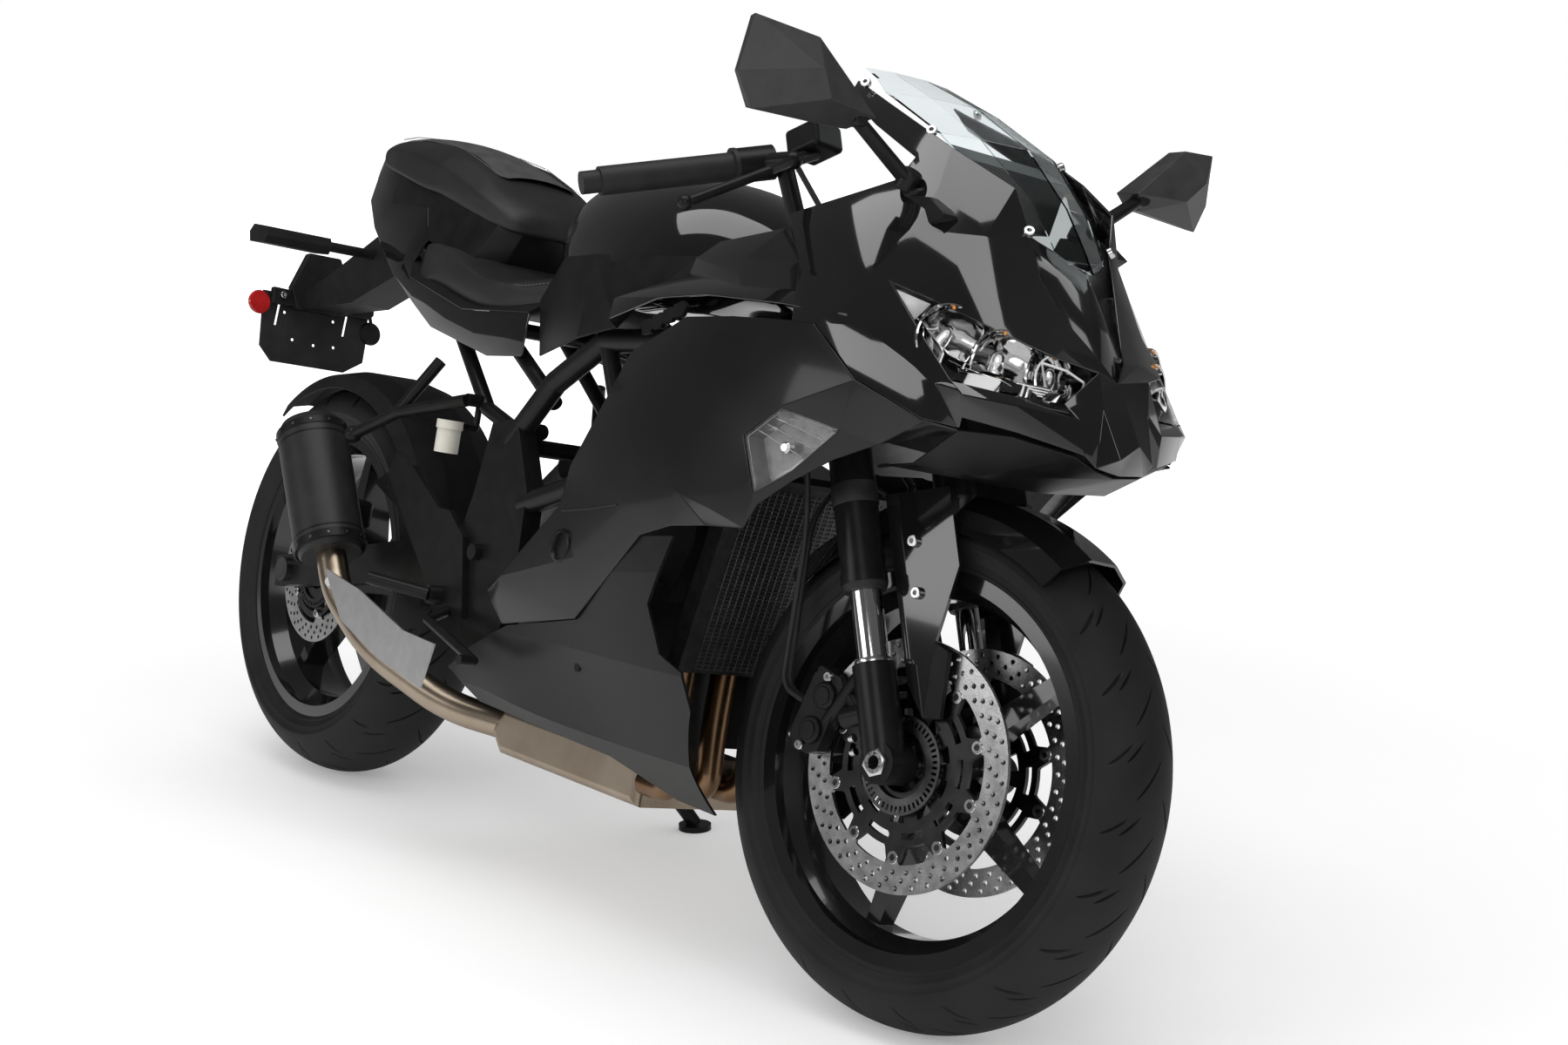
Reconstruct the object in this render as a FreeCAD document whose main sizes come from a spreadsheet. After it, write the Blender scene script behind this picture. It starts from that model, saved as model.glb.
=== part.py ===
# Sport bike with a full fairing, leaning on its side stand.
#
# Bike frame: X forward, Y to the rider's left, Z up, upright, with its origin on the ground line
# midway between the axles. Steered pieces are made in the steering frame, whose Z is the steering
# axis and whose origin is where that axis meets the ground line. Wheels are made about their own Y
# axis. The finished pieces are then placed leaning to the left, with both tyres and the side stand
# on the floor plane Z = 0.
import FreeCAD, Part
import math
import os
import re
import Sketcher
from FreeCAD import Placement, Rotation, Vector

X_AXIS = Vector(1, 0, 0)
Y_AXIS = Vector(0, 1, 0)
Z_AXIS = Vector(0, 0, 1)
ORIGIN = Vector(0, 0, 0)
LEFT = 1
RIGHT = -1
SIDES = (LEFT, RIGHT)

# Every driving size, in millimetres or degrees. Each name is an alias in the spreadsheet.
SIZES = [
    # Chassis geometry
    ("wheelbase", 1380),
    ("seat_height", 800),
    ("body_half_width", 250),
    ("rake_angle", 23.5),
    ("trail", 97),
    ("lean_angle", 12),
    ("steer_angle", 8),
    ("steer_lock_angle", 35),
    # Fits shared by many pieces
    ("seat_gap", 0.3),
    ("seam_gap", 0.6),
    ("running_gap", 1),
    ("sweep_gap", 6),
    ("overrun", 20),
    # Front wheel and tyre
    ("front_tyre_radius", 300),
    ("front_tyre_width", 120),
    ("front_tyre_crown_radius", 66),
    ("front_tyre_wall", 10),
    ("front_rim_half_width", 47),
    ("tyre_side_radius", 48),
    ("bead_radius", 217),
    ("bead_width", 10),
    ("rim_wall", 6),
    ("rim_flange_height", 12),
    ("rim_flange_width", 5),
    ("rim_well_depth", 16),
    ("front_well_half_width", 20),
    ("front_hub_radius", 36),
    ("front_hub_half_width", 50),
    ("front_axle_radius", 12.5),
    ("front_axle_bore_radius", 8),
    ("front_axle_half_length", 122),
    ("spoke_root_width", 34),
    ("spoke_tip_width", 20),
    ("front_spoke_root_depth", 46),
    ("front_spoke_tip_depth", 26),
    # Front brake
    ("front_disc_radius", 145),
    ("front_disc_band", 33),
    ("front_disc_thickness", 4.5),
    ("front_disc_offset", 64),
    ("carrier_thickness", 6),
    ("carrier_hub_radius", 30),
    ("carrier_spacer_radius", 34),
    ("caliper_gap", 1.5),
    # Rear wheel and tyre
    ("rear_tyre_radius", 312),
    ("rear_tyre_width", 160),
    ("rear_tyre_crown_radius", 90),
    ("rear_tyre_wall", 11),
    ("rear_rim_half_width", 62),
    ("rear_well_half_width", 30),
    ("rear_hub_radius", 42),
    ("rear_hub_half_width", 64),
    ("rear_spoke_root_depth", 70),
    ("rear_spoke_tip_depth", 36),
    ("rear_axle_radius", 12.5),
    ("rear_axle_half_length", 134),
    ("rear_nut_radius", 19),
    ("rear_nut_height", 10),
    ("rear_disc_radius", 110),
    ("rear_disc_band", 30),
    ("rear_disc_thickness", 4.5),
    ("rear_disc_offset", 74),
    ("sprocket_radius", 84),
    ("sprocket_thickness", 6),
    # Chain
    ("chain_line", 97),
    ("chain_width", 14),
    ("chain_height", 14),
    ("front_sprocket_radius", 33),
    # Fork, clamps and steering head
    ("fork_half_spread", 98),
    ("fork_lead", 28),
    ("fork_tube_radius", 26),
    ("fork_tube_wall", 4),
    ("fork_slider_radius", 18.5),
    ("fork_tube_bottom", 522),
    ("fork_tube_top", 962),
    ("fork_cap_height", 10),
    ("fork_foot_top", 428),
    ("fork_foot_radius", 25),
    ("axle_boss_radius", 24),
    ("axle_boss_inner", 72),
    ("axle_boss_outer", 117),
    ("lower_clamp_bottom", 690),
    ("lower_clamp_height", 38),
    ("upper_clamp_bottom", 905),
    ("upper_clamp_height", 26),
    ("clamp_rim", 13),
    ("clamp_waist", 30),
    ("stem_radius", 14),
    ("stem_bore_radius", 9),
    ("head_radius", 31),
    ("head_gap", 5),
    # Bars and controls
    ("bar_reach", 1000),
    ("bar_radius", 11),
    ("bar_ring_wall", 6),
    ("grip_radius", 17),
    ("grip_flange", 5),
    ("bar_end_length", 22),
    ("switch_length", 46),
    ("switch_radius", 21),
    ("perch_radius", 11),
    ("lever_radius", 6),
    ("lever_ball_radius", 9),
    ("reservoir_length", 50),
    ("reservoir_width", 50),
    ("reservoir_height", 34),
    ("reservoir_round", 6),
    # Front mudguard and calipers
    ("fender_gap", 12),
    ("fender_wall", 3.5),
    ("fender_side_gap", 8),
    ("fender_plate_offset", 74),
    ("fender_plate_thickness", 5),
    ("caliper_length", 104),
    ("caliper_width", 62),
    ("caliper_height", 54),
    ("caliper_round", 9),
    ("hose_radius", 3.5),
    ("hose_lead", 40),
    ("hose_offset", 84),
    ("cross_hose_offset", 73),
    # Side stand
    ("stand_radius", 13),
    ("stand_foot_radius", 24),
    ("stand_foot_thickness", 8),
    ("stand_boss_radius", 17),
    ("stand_boss_half", 14),
    ("stand_pin_radius", 6),
    ("stand_cheek_thickness", 7),
    # Frame
    ("spar_radius", 16),
    ("brace_radius", 12),
    ("rail_radius", 11),
    ("pivot_plate_offset", 150),
    ("pivot_plate_thickness", 28),
    ("pivot_bolt_radius", 11),
    ("pivot_tube_radius", 18),
    # Engine, radiator and exhaust
    ("engine_half_width", 128),
    ("engine_rear_half_width", 78),
    ("cylinder_half_width", 120),
    ("engine_cover_radius", 78),
    ("engine_cover_depth", 34),
    ("radiator_half_width", 130),
    ("radiator_height", 250),
    ("radiator_depth", 22),
    ("radiator_tank_width", 22),
    ("radiator_tank_lip", 2),
    ("header_radius", 17),
    ("chamber_half_width", 92),
    ("chamber_round", 12),
    ("link_radius", 22),
    ("link_straight", 60),
    ("silencer_radius", 52),
    ("silencer_length", 220),
    ("silencer_end_length", 14),
    ("silencer_end_drop", 8),
    ("silencer_outlet_radius", 24),
    ("silencer_outlet_depth", 40),
    ("shield_boss_radius", 8),
    ("shield_thickness", 3),
    # Swingarm, shock and rear mudguard
    ("swingarm_offset", 119),
    ("swingarm_thickness", 26),
    ("swingarm_depth", 66),
    ("shock_radius", 30),
    ("shock_eye_radius", 14),
    ("hugger_gap", 12),
    ("hugger_drop", 30),
    # Bodywork
    ("panel_wall", 4),
    ("peg_pin_radius", 6),
    ("seat_foot_radius", 9),
    ("cap_radius", 36),
    ("cap_height", 5),
    ("cap_rise", 3),
    ("cap_hinge_reach", 4),
    ("cap_hinge_radius", 2.5),
    ("cap_hinge_half", 10),
    ("cap_hinge_lift", 5.5),
    ("slider_hole_radius", 17),
    ("stay_radius", 9),
    ("stay_height", 828),
    ("stay_run", 170),
    ("dash_half_width", 82),
    ("liner_half_width", 131),
    ("mirror_stem_radius", 9),
    ("tail_light_half_width", 60),
    ("undertail_half_width", 36),
    ("plate_half_width", 100),
    ("plate_height", 118),
    ("plate_corner", 18),
    ("plate_thickness", 3),
    ("indicator_stalk_radius", 7),
    ("indicator_radius", 16),
    # Foot controls and reservoir
    ("rearset_thickness", 9),
    ("peg_radius", 9),
    ("peg_bracket_radius", 13),
    ("pedal_radius", 7),
    ("pot_radius", 17),
    ("pot_height", 34),
    ("pot_lip", 2),
    ("pot_cap_height", 12),
]

doc = FreeCAD.newDocument("SportBike")
sheet = doc.addObject("Spreadsheet::Sheet", "Sizes")
for row, (alias, amount) in enumerate(SIZES, start=1):
    sheet.set(f"A{row}", alias)
    sheet.set(f"B{row}", str(amount))
    sheet.setAlias(f"B{row}", alias)
doc.recompute()


class NamedSizes:
    """Reads the spreadsheet's sizes by their alias."""

    def __getattr__(self, alias):
        return float(sheet.get(alias))


S = NamedSizes()
nodes = {}

# Bodywork outlines are written as shares of these three reaches. The long way follows the
# wheelbase and the height follows the seat height.
wheelbase_share = 1.38
seat_height_share = 0.8
reach = S.wheelbase / wheelbase_share
rise = S.seat_height / seat_height_share
half_width = S.body_half_width


# Helpers for bound pieces
def amount_of(expression):
    return float(sheet.evalExpression(expression))


def linked(expression):
    """Names each alias of an expression as a cell of the sheet."""
    return re.sub(r"[a-z][a-z0-9_]*(?![a-z0-9_(])", lambda found: "Sizes." + found.group(0), expression)


def origin_plane(body, role):
    return [item for item in body.Origin.OriginFeatures if item.Role == role][0]


def arc_between(start, end, radius):
    """The shorter arc from start to end, turning left about its centre."""
    chord = end - start
    half = chord.Length / 2
    side = Vector(-chord.y, chord.x, 0).normalize()
    centre = (start + end) * 0.5 + side * math.sqrt(max(radius**2 - half**2, 0))
    first = math.atan2(start.y - centre.y, start.x - centre.x)
    last = math.atan2(end.y - centre.y, end.x - centre.x)
    if last < first:
        last += 2 * math.pi
    return Part.ArcOfCircle(Part.Circle(centre, Z_AXIS, radius), first, last)


def bound_sketch(body, name, role, outline):
    """A closed sketch. Each corner is two expressions, and a third is the radius of an arc on."""
    sketch = body.newObject("Sketcher::SketchObject", name)
    sketch.AttachmentSupport = (origin_plane(body, role), [""])
    sketch.MapMode = "FlatFace"
    corners = [Vector(amount_of(point[0]), amount_of(point[1]), 0) for point in outline]
    count = len(outline)
    for index, point in enumerate(outline):
        start = corners[index]
        end = corners[(index + 1) % count]
        if len(point) == 3:
            sketch.addGeometry(arc_between(start, end, amount_of(point[2])))
        else:
            sketch.addGeometry(Part.LineSegment(start, end))
    for index in range(count):
        following = (index + 1) % count
        sketch.addConstraint(Sketcher.Constraint("Coincident", index, 2, following, 1))
    for index, point in enumerate(outline):
        for kind, text, amount in (
            ("DistanceX", point[0], corners[index].x),
            ("DistanceY", point[1], corners[index].y),
        ):
            number = sketch.addConstraint(Sketcher.Constraint(kind, -1, 1, index, 1, amount))
            sketch.setExpression(f"Constraints[{number}]", linked(text))
        if len(point) == 3:
            radius = amount_of(point[2])
            number = sketch.addConstraint(Sketcher.Constraint("Radius", index, radius))
            sketch.setExpression(f"Constraints[{number}]", linked(point[2]))
    return sketch


def turned_body(name, outline):
    """A body turned about its own Y axis. Outline corners are radius and place along the axis."""
    body = doc.addObject("PartDesign::Body", name)
    sketch = bound_sketch(body, name + "_profile", "XY_Plane", outline)
    turn = body.newObject("PartDesign::Revolution", name + "_turn")
    turn.Profile = sketch
    turn.ReferenceAxis = (sketch, ["V_Axis"])
    turn.Angle = 360
    sketch.Visibility = False
    return body


def padded_body(name, outline, length, role="XY_Plane"):
    """A body pushed both ways out of one of its origin planes."""
    body = doc.addObject("PartDesign::Body", name)
    sketch = bound_sketch(body, name + "_outline", role, outline)
    pad = body.newObject("PartDesign::Pad", name + "_pad")
    pad.Profile = sketch
    pad.Midplane = True
    pad.Length = amount_of(length)
    pad.setExpression("Length", linked(length))
    sketch.Visibility = False
    return body


def primitive(kind, name, placement, **expressions):
    """A Part primitive whose sizes are bound to the sheet."""
    item = doc.addObject(kind, name)
    item.Placement = placement
    for prop, text in expressions.items():
        setattr(item, prop, amount_of(text))
        item.setExpression(prop, linked(text))
    return item


def node(name, item, placement):
    """Registers a finished piece under its node name and puts it in its place."""
    item.Label = name
    item.Placement = placement
    nodes[name] = item
    return item


def shaped(name, shape, placement):
    """A piece whose shape is set directly."""
    solids = shape.Solids
    whole = solids[0] if len(solids) == 1 else Part.makeCompound(solids)
    item = doc.addObject("Part::Feature", name)
    item.Shape = whole
    return node(name, item, placement)


def grouped(name, items, placement):
    """Like pieces that share a node without touching."""
    item = doc.addObject("Part::Compound", name)
    item.Links = items
    return node(name, item, placement)


# Helpers for free-form pieces
def fused(shapes):
    whole = shapes[0]
    if len(shapes) > 1:
        whole = whole.multiFuse(shapes[1:])
    return whole.removeSplitter()


def mirrored(shape):
    return shape.mirror(ORIGIN, Y_AXIS)


def both_sides(shape):
    return Part.makeCompound([shape, mirrored(shape)])


def rod(start, end, radius, end_radius=None):
    run = end - start
    if end_radius is None:
        return Part.makeCylinder(radius, run.Length, start, run)
    return Part.makeCone(radius, end_radius, run.Length, start, run)


def hollow_rod(start, end, radius, bore):
    return rod(start, end, radius).cut(rod(start, end, bore))


bend_share = 0.45
loft_degree = 3


def rounded_path(points):
    """Straight runs joined by arcs that touch both runs."""
    edges = []
    start = points[0]
    for before, corner, after in zip(points, points[1:], points[2:]):
        back = before - corner
        onward = after - corner
        half_turn = (math.pi - back.getAngle(onward)) / 2
        tangent = bend_share * min(back.Length, onward.Length)
        back.normalize()
        onward.normalize()
        middle = (back + onward).normalize()
        radius = tangent / math.tan(half_turn)
        depth = radius * (1 / math.cos(half_turn) - 1)
        first = corner + back * tangent
        last = corner + onward * tangent
        edges.append(Part.makeLine(start, first))
        edges.append(Part.Arc(first, corner + middle * depth, last).toShape())
        start = last
    edges.append(Part.makeLine(start, points[-1]))
    return Part.Wire(edges)


def bent_rod(points, radius):
    """A round bar along a path with rounded corners."""
    path = rounded_path(points)
    ring = Part.Wire([Part.makeCircle(radius, points[0], points[1] - points[0])])
    return Part.Solid(path.makePipeShell([ring], True, False))


def jointed_rod(points, radius):
    """A round bar along straight runs with a ball at each corner."""
    pieces = [rod(start, end, radius) for start, end in zip(points, points[1:])]
    pieces += [Part.makeSphere(radius, corner) for corner in points[1:-1]]
    return fused(pieces)


def stub(start, target, target_radius, radius):
    """A short round peg that stops just short of a round bar whose middle is the target."""
    aim = (target - start).normalize()
    return rod(start, target - aim * (target_radius + 2 * S.seat_gap), radius)


def flat_plate(outline, normal, low, high):
    """A closed outline in the plane across a normal, pushed from low to high along it."""
    if normal == Y_AXIS:
        corners = [Vector(first, low, second) for first, second in outline]
    elif normal == X_AXIS:
        corners = [Vector(low, first, second) for first, second in outline]
    else:
        corners = [Vector(first, second, low) for first, second in outline]
    face = Part.Face(Part.makePolygon(corners + corners[:1]))
    return face.extrude(normal * (high - low))


def lofted(rows, ruled=False):
    """A solid through closed rows of points."""
    wires = [Part.makePolygon(row + row[:1]) for row in rows]
    return Part.makeLoft(wires, True, ruled, False, loft_degree)


def inset(points, wall):
    """A row of flat points moved to its right by the wall."""
    moved = []
    last = len(points) - 1
    for index, (first, second) in enumerate(points):
        normals = []
        for one, two in ((index - 1, index), (index, index + 1)):
            if one < 0 or two > last:
                continue
            along = (points[two][0] - points[one][0], points[two][1] - points[one][1])
            length = math.hypot(*along)
            normals.append((along[1] / length, -along[0] / length))
        normal = (sum(item[0] for item in normals), sum(item[1] for item in normals))
        length = math.hypot(*normal)
        normal = (normal[0] / length, normal[1] / length)
        reach_out = wall / (normal[0] * normals[0][0] + normal[1] * normals[0][1])
        moved.append((first + normal[0] * reach_out, second + normal[1] * reach_out))
    return moved


def skin(stations, across, wall, ruled=False):
    """A thin wall through open rows of flat points, thickened to the right of each row."""
    rows = []
    for station, points in stations:
        ring = points + inset(points, wall)[::-1]
        if across == X_AXIS:
            rows.append([Vector(station, first, second) for first, second in ring])
        else:
            rows.append([Vector(first, second, station) for first, second in ring])
    return lofted(rows, ruled)


def ring_stations(stations, across):
    """Closed rows for a solid through flat rings of points."""
    if across == X_AXIS:
        return [[Vector(place, first, second) for first, second in ring] for place, ring in stations]
    return [[Vector(first, second, place) for first, second in ring] for place, ring in stations]


def symmetric_ring(half):
    """A closed ring from one half, given from the top middle down to the lowest point."""
    return half + [(-first, second) for first, second in half[::-1] if first]


# Places of the main axes, and the lean
pivot_shares = (-0.095, 0.423)
front_sprocket_shares = (0, 0.418)
rear_axle = Vector(-S.wheelbase / 2, 0, S.rear_tyre_radius)
front_axle = Vector(S.wheelbase / 2, 0, S.front_tyre_radius)
steer_foot = Vector(S.wheelbase / 2 + S.trail, 0, 0)
swing_pivot = Vector(pivot_shares[0] * reach, 0, pivot_shares[1] * rise)
front_sprocket = Vector(front_sprocket_shares[0] * reach, 0, front_sprocket_shares[1] * rise)

STRAIGHT = Placement(steer_foot, Rotation(Y_AXIS, -S.rake_angle))
STEERED = STRAIGHT * Placement(ORIGIN, Rotation(Z_AXIS, S.steer_angle))
front_centre = STRAIGHT.inverse().multVec(front_axle)


def tyre_low(placement, centre, radius, crown):
    """The lowest level of a round-crowned tyre that turns about its frame's Y axis."""
    axis = placement.Rotation.multVec(Y_AXIS)
    middle = placement.multVec(centre)
    return middle.z - (radius - crown) * math.sqrt(1 - axis.z**2) - crown


def settled_lean():
    """The lean to the left, pitched and lifted so that both tyres touch the floor."""
    front_crown = S.front_tyre_crown_radius
    rear_crown = S.rear_tyre_crown_radius
    lean = Placement(ORIGIN, Rotation(X_AXIS, -S.lean_angle))
    pitch = 0
    for _ in range(4):
        placed = Placement(ORIGIN, Rotation(Y_AXIS, math.degrees(pitch))) * lean
        front = tyre_low(placed * STEERED, front_centre, S.front_tyre_radius, front_crown)
        rear = tyre_low(placed, rear_axle, S.rear_tyre_radius, rear_crown)
        pitch += (front - rear) / S.wheelbase
    placed = Placement(ORIGIN, Rotation(Y_AXIS, math.degrees(pitch))) * lean
    rear = tyre_low(placed, rear_axle, S.rear_tyre_radius, rear_crown)
    return Placement(Vector(0, 0, -rear), Rotation()) * placed


LEAN = settled_lean()
STEER = LEAN * STEERED
FRONT_WHEEL = STEER * Placement(front_centre, Rotation())
REAR_WHEEL = LEAN * Placement(rear_axle, Rotation())
UPRIGHT = Rotation(X_AXIS, 90)


# Wheels
def tyre(name, end, placement):
    """A hollow tyre: round crown, side walls and two beads."""
    half = f"{end}_tyre_width / 2"
    radius = f"{end}_tyre_radius"
    crown = f"{end}_tyre_crown_radius"
    edge = f"{radius} - {crown} + sqrt({crown} * {crown} - {half} * {half})"
    wall = f"{end}_tyre_wall"
    low = f"{end}_rim_half_width"
    flange = "bead_radius + rim_flange_height + running_gap"
    outline = [
        (flange, f"-{low}", "tyre_side_radius"),
        (edge, f"-{half}", crown),
        (radius, "0", crown),
        (edge, half, "tyre_side_radius"),
        (flange, low),
        ("bead_radius", low),
        ("bead_radius", f"{low} - bead_width"),
        (flange, f"{low} - bead_width"),
        (edge, f"{half} - {wall}"),
        (f"{radius} - {wall}", f"{half} / 2.5"),
        (f"{radius} - {wall}", f"-{half} / 2.5"),
        (edge, f"-({half} - {wall})"),
        (flange, f"-({low} - bead_width)"),
        ("bead_radius", f"-({low} - bead_width)"),
        ("bead_radius", f"-{low}"),
    ]
    return node(name, turned_body(name, outline), placement)


def rim(name, end, placement):
    """A five-spoke wheel in one piece: barrel, flanges, hub and straight spokes."""
    seat = S.bead_radius - S.seat_gap
    wide = amount_of(f"{end}_rim_half_width") + S.seat_gap
    lip = wide + S.rim_flange_width
    tip = seat + S.rim_flange_height
    well = amount_of(f"{end}_well_half_width")
    floor = seat - S.rim_well_depth
    half = [
        (tip, lip),
        (tip, wide),
        (seat, wide),
        (seat, wide - S.bead_width),
        (floor, well),
    ]
    under = [
        (floor - S.rim_wall, well),
        (seat - S.rim_wall, wide - S.bead_width),
        (seat - S.rim_wall, lip),
    ]
    outer = half + [(radius, -along) for radius, along in half[::-1]]
    inner = [(radius, -along) for radius, along in under[::-1]] + under
    corners = [Vector(radius, along, 0) for radius, along in outer + inner]
    face = Part.Face(Part.makePolygon(corners + corners[:1]))
    barrel = face.revolve(ORIGIN, Y_AXIS, 360)
    hub_half = amount_of(f"{end}_hub_half_width")
    hub_radius = amount_of(f"{end}_hub_radius")
    hub = rod(Y_AXIS * -hub_half, Y_AXIS * hub_half, hub_radius)
    root = (S.spoke_root_width / 2, amount_of(f"{end}_spoke_root_depth") / 2)
    end_size = (S.spoke_tip_width / 2, amount_of(f"{end}_spoke_tip_depth") / 2)
    rows = []
    for place, (wide_half, deep_half) in ((hub_radius / 2, root), (floor - S.rim_wall / 2, end_size)):
        rows.append([
            Vector(-wide_half, -deep_half, place),
            Vector(wide_half, -deep_half, place),
            Vector(wide_half, deep_half, place),
            Vector(-wide_half, deep_half, place),
        ])
    spoke = lofted(rows, True)
    spokes = []
    for index in range(spoke_count):
        turned = spoke.copy()
        turned.rotate(ORIGIN, Y_AXIS, 360 * index / spoke_count)
        spokes.append(turned)
    bore = rod(Y_AXIS * -lip, Y_AXIS * lip, S.front_axle_radius + S.running_gap)
    return shaped(name, fused([barrel, hub] + spokes).cut(bore), placement)


def ring_body(name, outer, inner, thickness, offset):
    """A flat ring about the Y axis, its middle plane at an offset."""
    low = f"{offset} - {thickness} / 2"
    high = f"{offset} + {thickness} / 2"
    return turned_body(name, [(inner, low), (outer, low), (outer, high), (inner, high)])


def front_wheel():
    tyre("front_tyre", "front", FRONT_WHEEL)
    rim("front_rim", "front", FRONT_WHEEL)
    discs = []
    carriers = []
    for label, sign in (("left", ""), ("right", "-")):
        offset = f"{sign}front_disc_offset"
        inner = "front_disc_radius - front_disc_band"
        discs.append(
            ring_body(f"disc_{label}", "front_disc_radius", inner, "front_disc_thickness", offset)
        )
        hub_face = "front_hub_half_width + seat_gap"
        face = "front_disc_offset - carrier_thickness / 2"
        back = "front_disc_offset + carrier_thickness / 2"
        rim_radius = "front_disc_radius - front_disc_band - seat_gap"
        carriers.append(turned_body(f"carrier_{label}", [
            ("carrier_hub_radius", sign + f"({hub_face})"),
            ("carrier_spacer_radius", sign + f"({hub_face})"),
            ("carrier_spacer_radius", sign + f"({face})"),
            (rim_radius, sign + f"({face})"),
            (rim_radius, sign + f"({back})"),
            ("carrier_hub_radius", sign + f"({back})"),
        ]))
    grouped("front_discs", discs, FRONT_WHEEL)
    grouped("front_disc_carriers", carriers, FRONT_WHEEL)


def rear_wheel():
    tyre("rear_tyre", "rear", REAR_WHEEL)
    rim("rear_rim", "rear", REAR_WHEEL)
    hub_face = "rear_hub_half_width + seat_gap"
    disc_in = "rear_disc_offset - rear_disc_thickness / 2"
    disc_out = "rear_disc_offset + rear_disc_thickness / 2"
    disc = turned_body("rear_disc", [
        ("rear_axle_radius + running_gap", f"-({hub_face})"),
        ("rear_hub_radius", f"-({hub_face})"),
        ("rear_hub_radius", f"-({disc_in})"),
        ("rear_disc_radius", f"-({disc_in})"),
        ("rear_disc_radius", f"-({disc_out})"),
        ("rear_axle_radius + running_gap", f"-({disc_out})"),
    ])
    node("rear_disc", disc, REAR_WHEEL)
    wheel_in = "chain_line - sprocket_thickness / 2"
    wheel_out = "chain_line + sprocket_thickness / 2"
    sprocket = turned_body("sprocket", [
        ("rear_axle_radius + running_gap", hub_face),
        ("rear_hub_radius", hub_face),
        ("rear_hub_radius", wheel_in),
        ("sprocket_radius", wheel_in),
        ("sprocket_radius", wheel_out),
        ("rear_axle_radius + running_gap", wheel_out),
    ])
    node("sprocket", sprocket, REAR_WHEEL)


# Steered front end
def fork_place(side):
    return Vector(S.fork_lead, side * S.fork_half_spread, 0)


def fork():
    """Outer tubes, bright sliders and cast feet, each in one straight line."""
    tubes = []
    sliders = []
    feet = []
    gap = S.seat_gap
    for side in SIDES:
        foot = fork_place(side)
        low = foot + Z_AXIS * S.fork_tube_bottom
        top = foot + Z_AXIS * S.fork_tube_top
        tube = rod(low, top, S.fork_tube_radius)
        seal = rod(low, low + Z_AXIS * S.fork_tube_wall * 3, S.fork_tube_radius + gap * 5)
        cap = rod(top, top + Z_AXIS * S.fork_cap_height, S.fork_slider_radius)
        socket = rod(low, low + Z_AXIS * S.fork_tube_radius * 2, S.fork_slider_radius + gap)
        tubes.append(fused([tube, seal, cap]).cut(socket))
        foot_top = foot + Z_AXIS * S.fork_foot_top
        sliders.append(rod(foot_top + Z_AXIS * gap, low + Z_AXIS * (S.fork_tube_radius * 2 - gap),
                           S.fork_slider_radius))
        axle = front_centre
        centre = Vector(axle.x, 0, axle.z)
        inner = centre + Y_AXIS * side * S.axle_boss_inner
        outer = centre + Y_AXIS * side * S.axle_boss_outer
        boss = rod(inner, outer, S.axle_boss_radius)
        leg = rod(Vector(foot.x, foot.y, axle.z), foot_top, S.fork_foot_radius)
        back = foot + Vector(-S.fork_foot_radius * 2, 0, S.fork_tube_bottom * 0.72)
        lug = rod(foot + Z_AXIS * back.z, back, S.fork_foot_radius * 0.5)
        base = fused([leg, boss, lug])
        bore = rod(inner - Y_AXIS * side * S.overrun, outer + Y_AXIS * side * S.overrun,
                   S.front_axle_radius + gap)
        feet.append(base.cut(bore))
    shaped("fork_tubes", Part.makeCompound(tubes), STEER)
    shaped("fork_sliders", Part.makeCompound(sliders), STEER)
    shaped("fork_feet", Part.makeCompound(feet), STEER)
    half = "front_axle_half_length"
    axle = turned_body("front_axle", [
        ("front_axle_bore_radius", "-" + half),
        ("front_axle_radius", "-" + half),
        ("front_axle_radius", half),
        ("front_axle_bore_radius", half),
    ])
    node("front_axle", axle, FRONT_WHEEL)


def clamp(low, height, rim_radius):
    """One fork clamp: two rings and a bridge with a waist."""
    spread = S.fork_half_spread
    outer = S.fork_tube_radius + S.clamp_rim
    pieces = []
    for side in SIDES:
        base = fork_place(side) + Z_AXIS * low
        pieces.append(rod(base, base + Z_AXIS * height, outer))
    outline = [
        (S.fork_lead + outer * 0.8, spread),
        (S.fork_lead + outer * 0.8, -spread),
        (S.fork_lead - outer * 0.8, -spread),
        (-S.clamp_waist, -S.clamp_waist),
        (-S.clamp_waist, S.clamp_waist),
        (S.fork_lead - outer * 0.8, spread),
    ]
    pieces.append(flat_plate(outline, Z_AXIS, low, low + height))
    body = fused(pieces)
    for side in SIDES:
        base = fork_place(side) + Z_AXIS * (low - S.overrun)
        body = body.cut(rod(base, base + Z_AXIS * (height + 2 * S.overrun),
                            S.fork_tube_radius + S.seat_gap))
    return body


def clamps():
    low = S.lower_clamp_bottom
    high = S.upper_clamp_bottom
    stem_top = high + S.upper_clamp_height + S.stem_radius
    stem = rod(Z_AXIS * low, Z_AXIS * stem_top, S.stem_radius)
    bore = rod(Z_AXIS * (low - S.overrun), Z_AXIS * (stem_top + S.overrun), S.stem_bore_radius)
    lower = clamp(low, S.lower_clamp_height, S.clamp_rim)
    upper = clamp(high, S.upper_clamp_height, S.clamp_rim)
    hole = rod(Z_AXIS * (high - S.overrun), Z_AXIS * (stem_top + S.overrun),
               S.stem_radius + S.seat_gap)
    shaped("fork_clamps", Part.makeCompound([fused([lower, stem]).cut(bore), upper.cut(hole)]), STEER)


grip_inner_shares = (-0.014, 0.200, 1.034)
grip_outer_shares = (-0.104, 0.340, 1.011)
lever_route_shares = [(0.052, 0.172, 1.024), (0.060, 0.228, 0.992), (0.011, 0.322, 0.946)]
reservoir_box_shares = (0.056, 0.135, 1.056)


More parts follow.
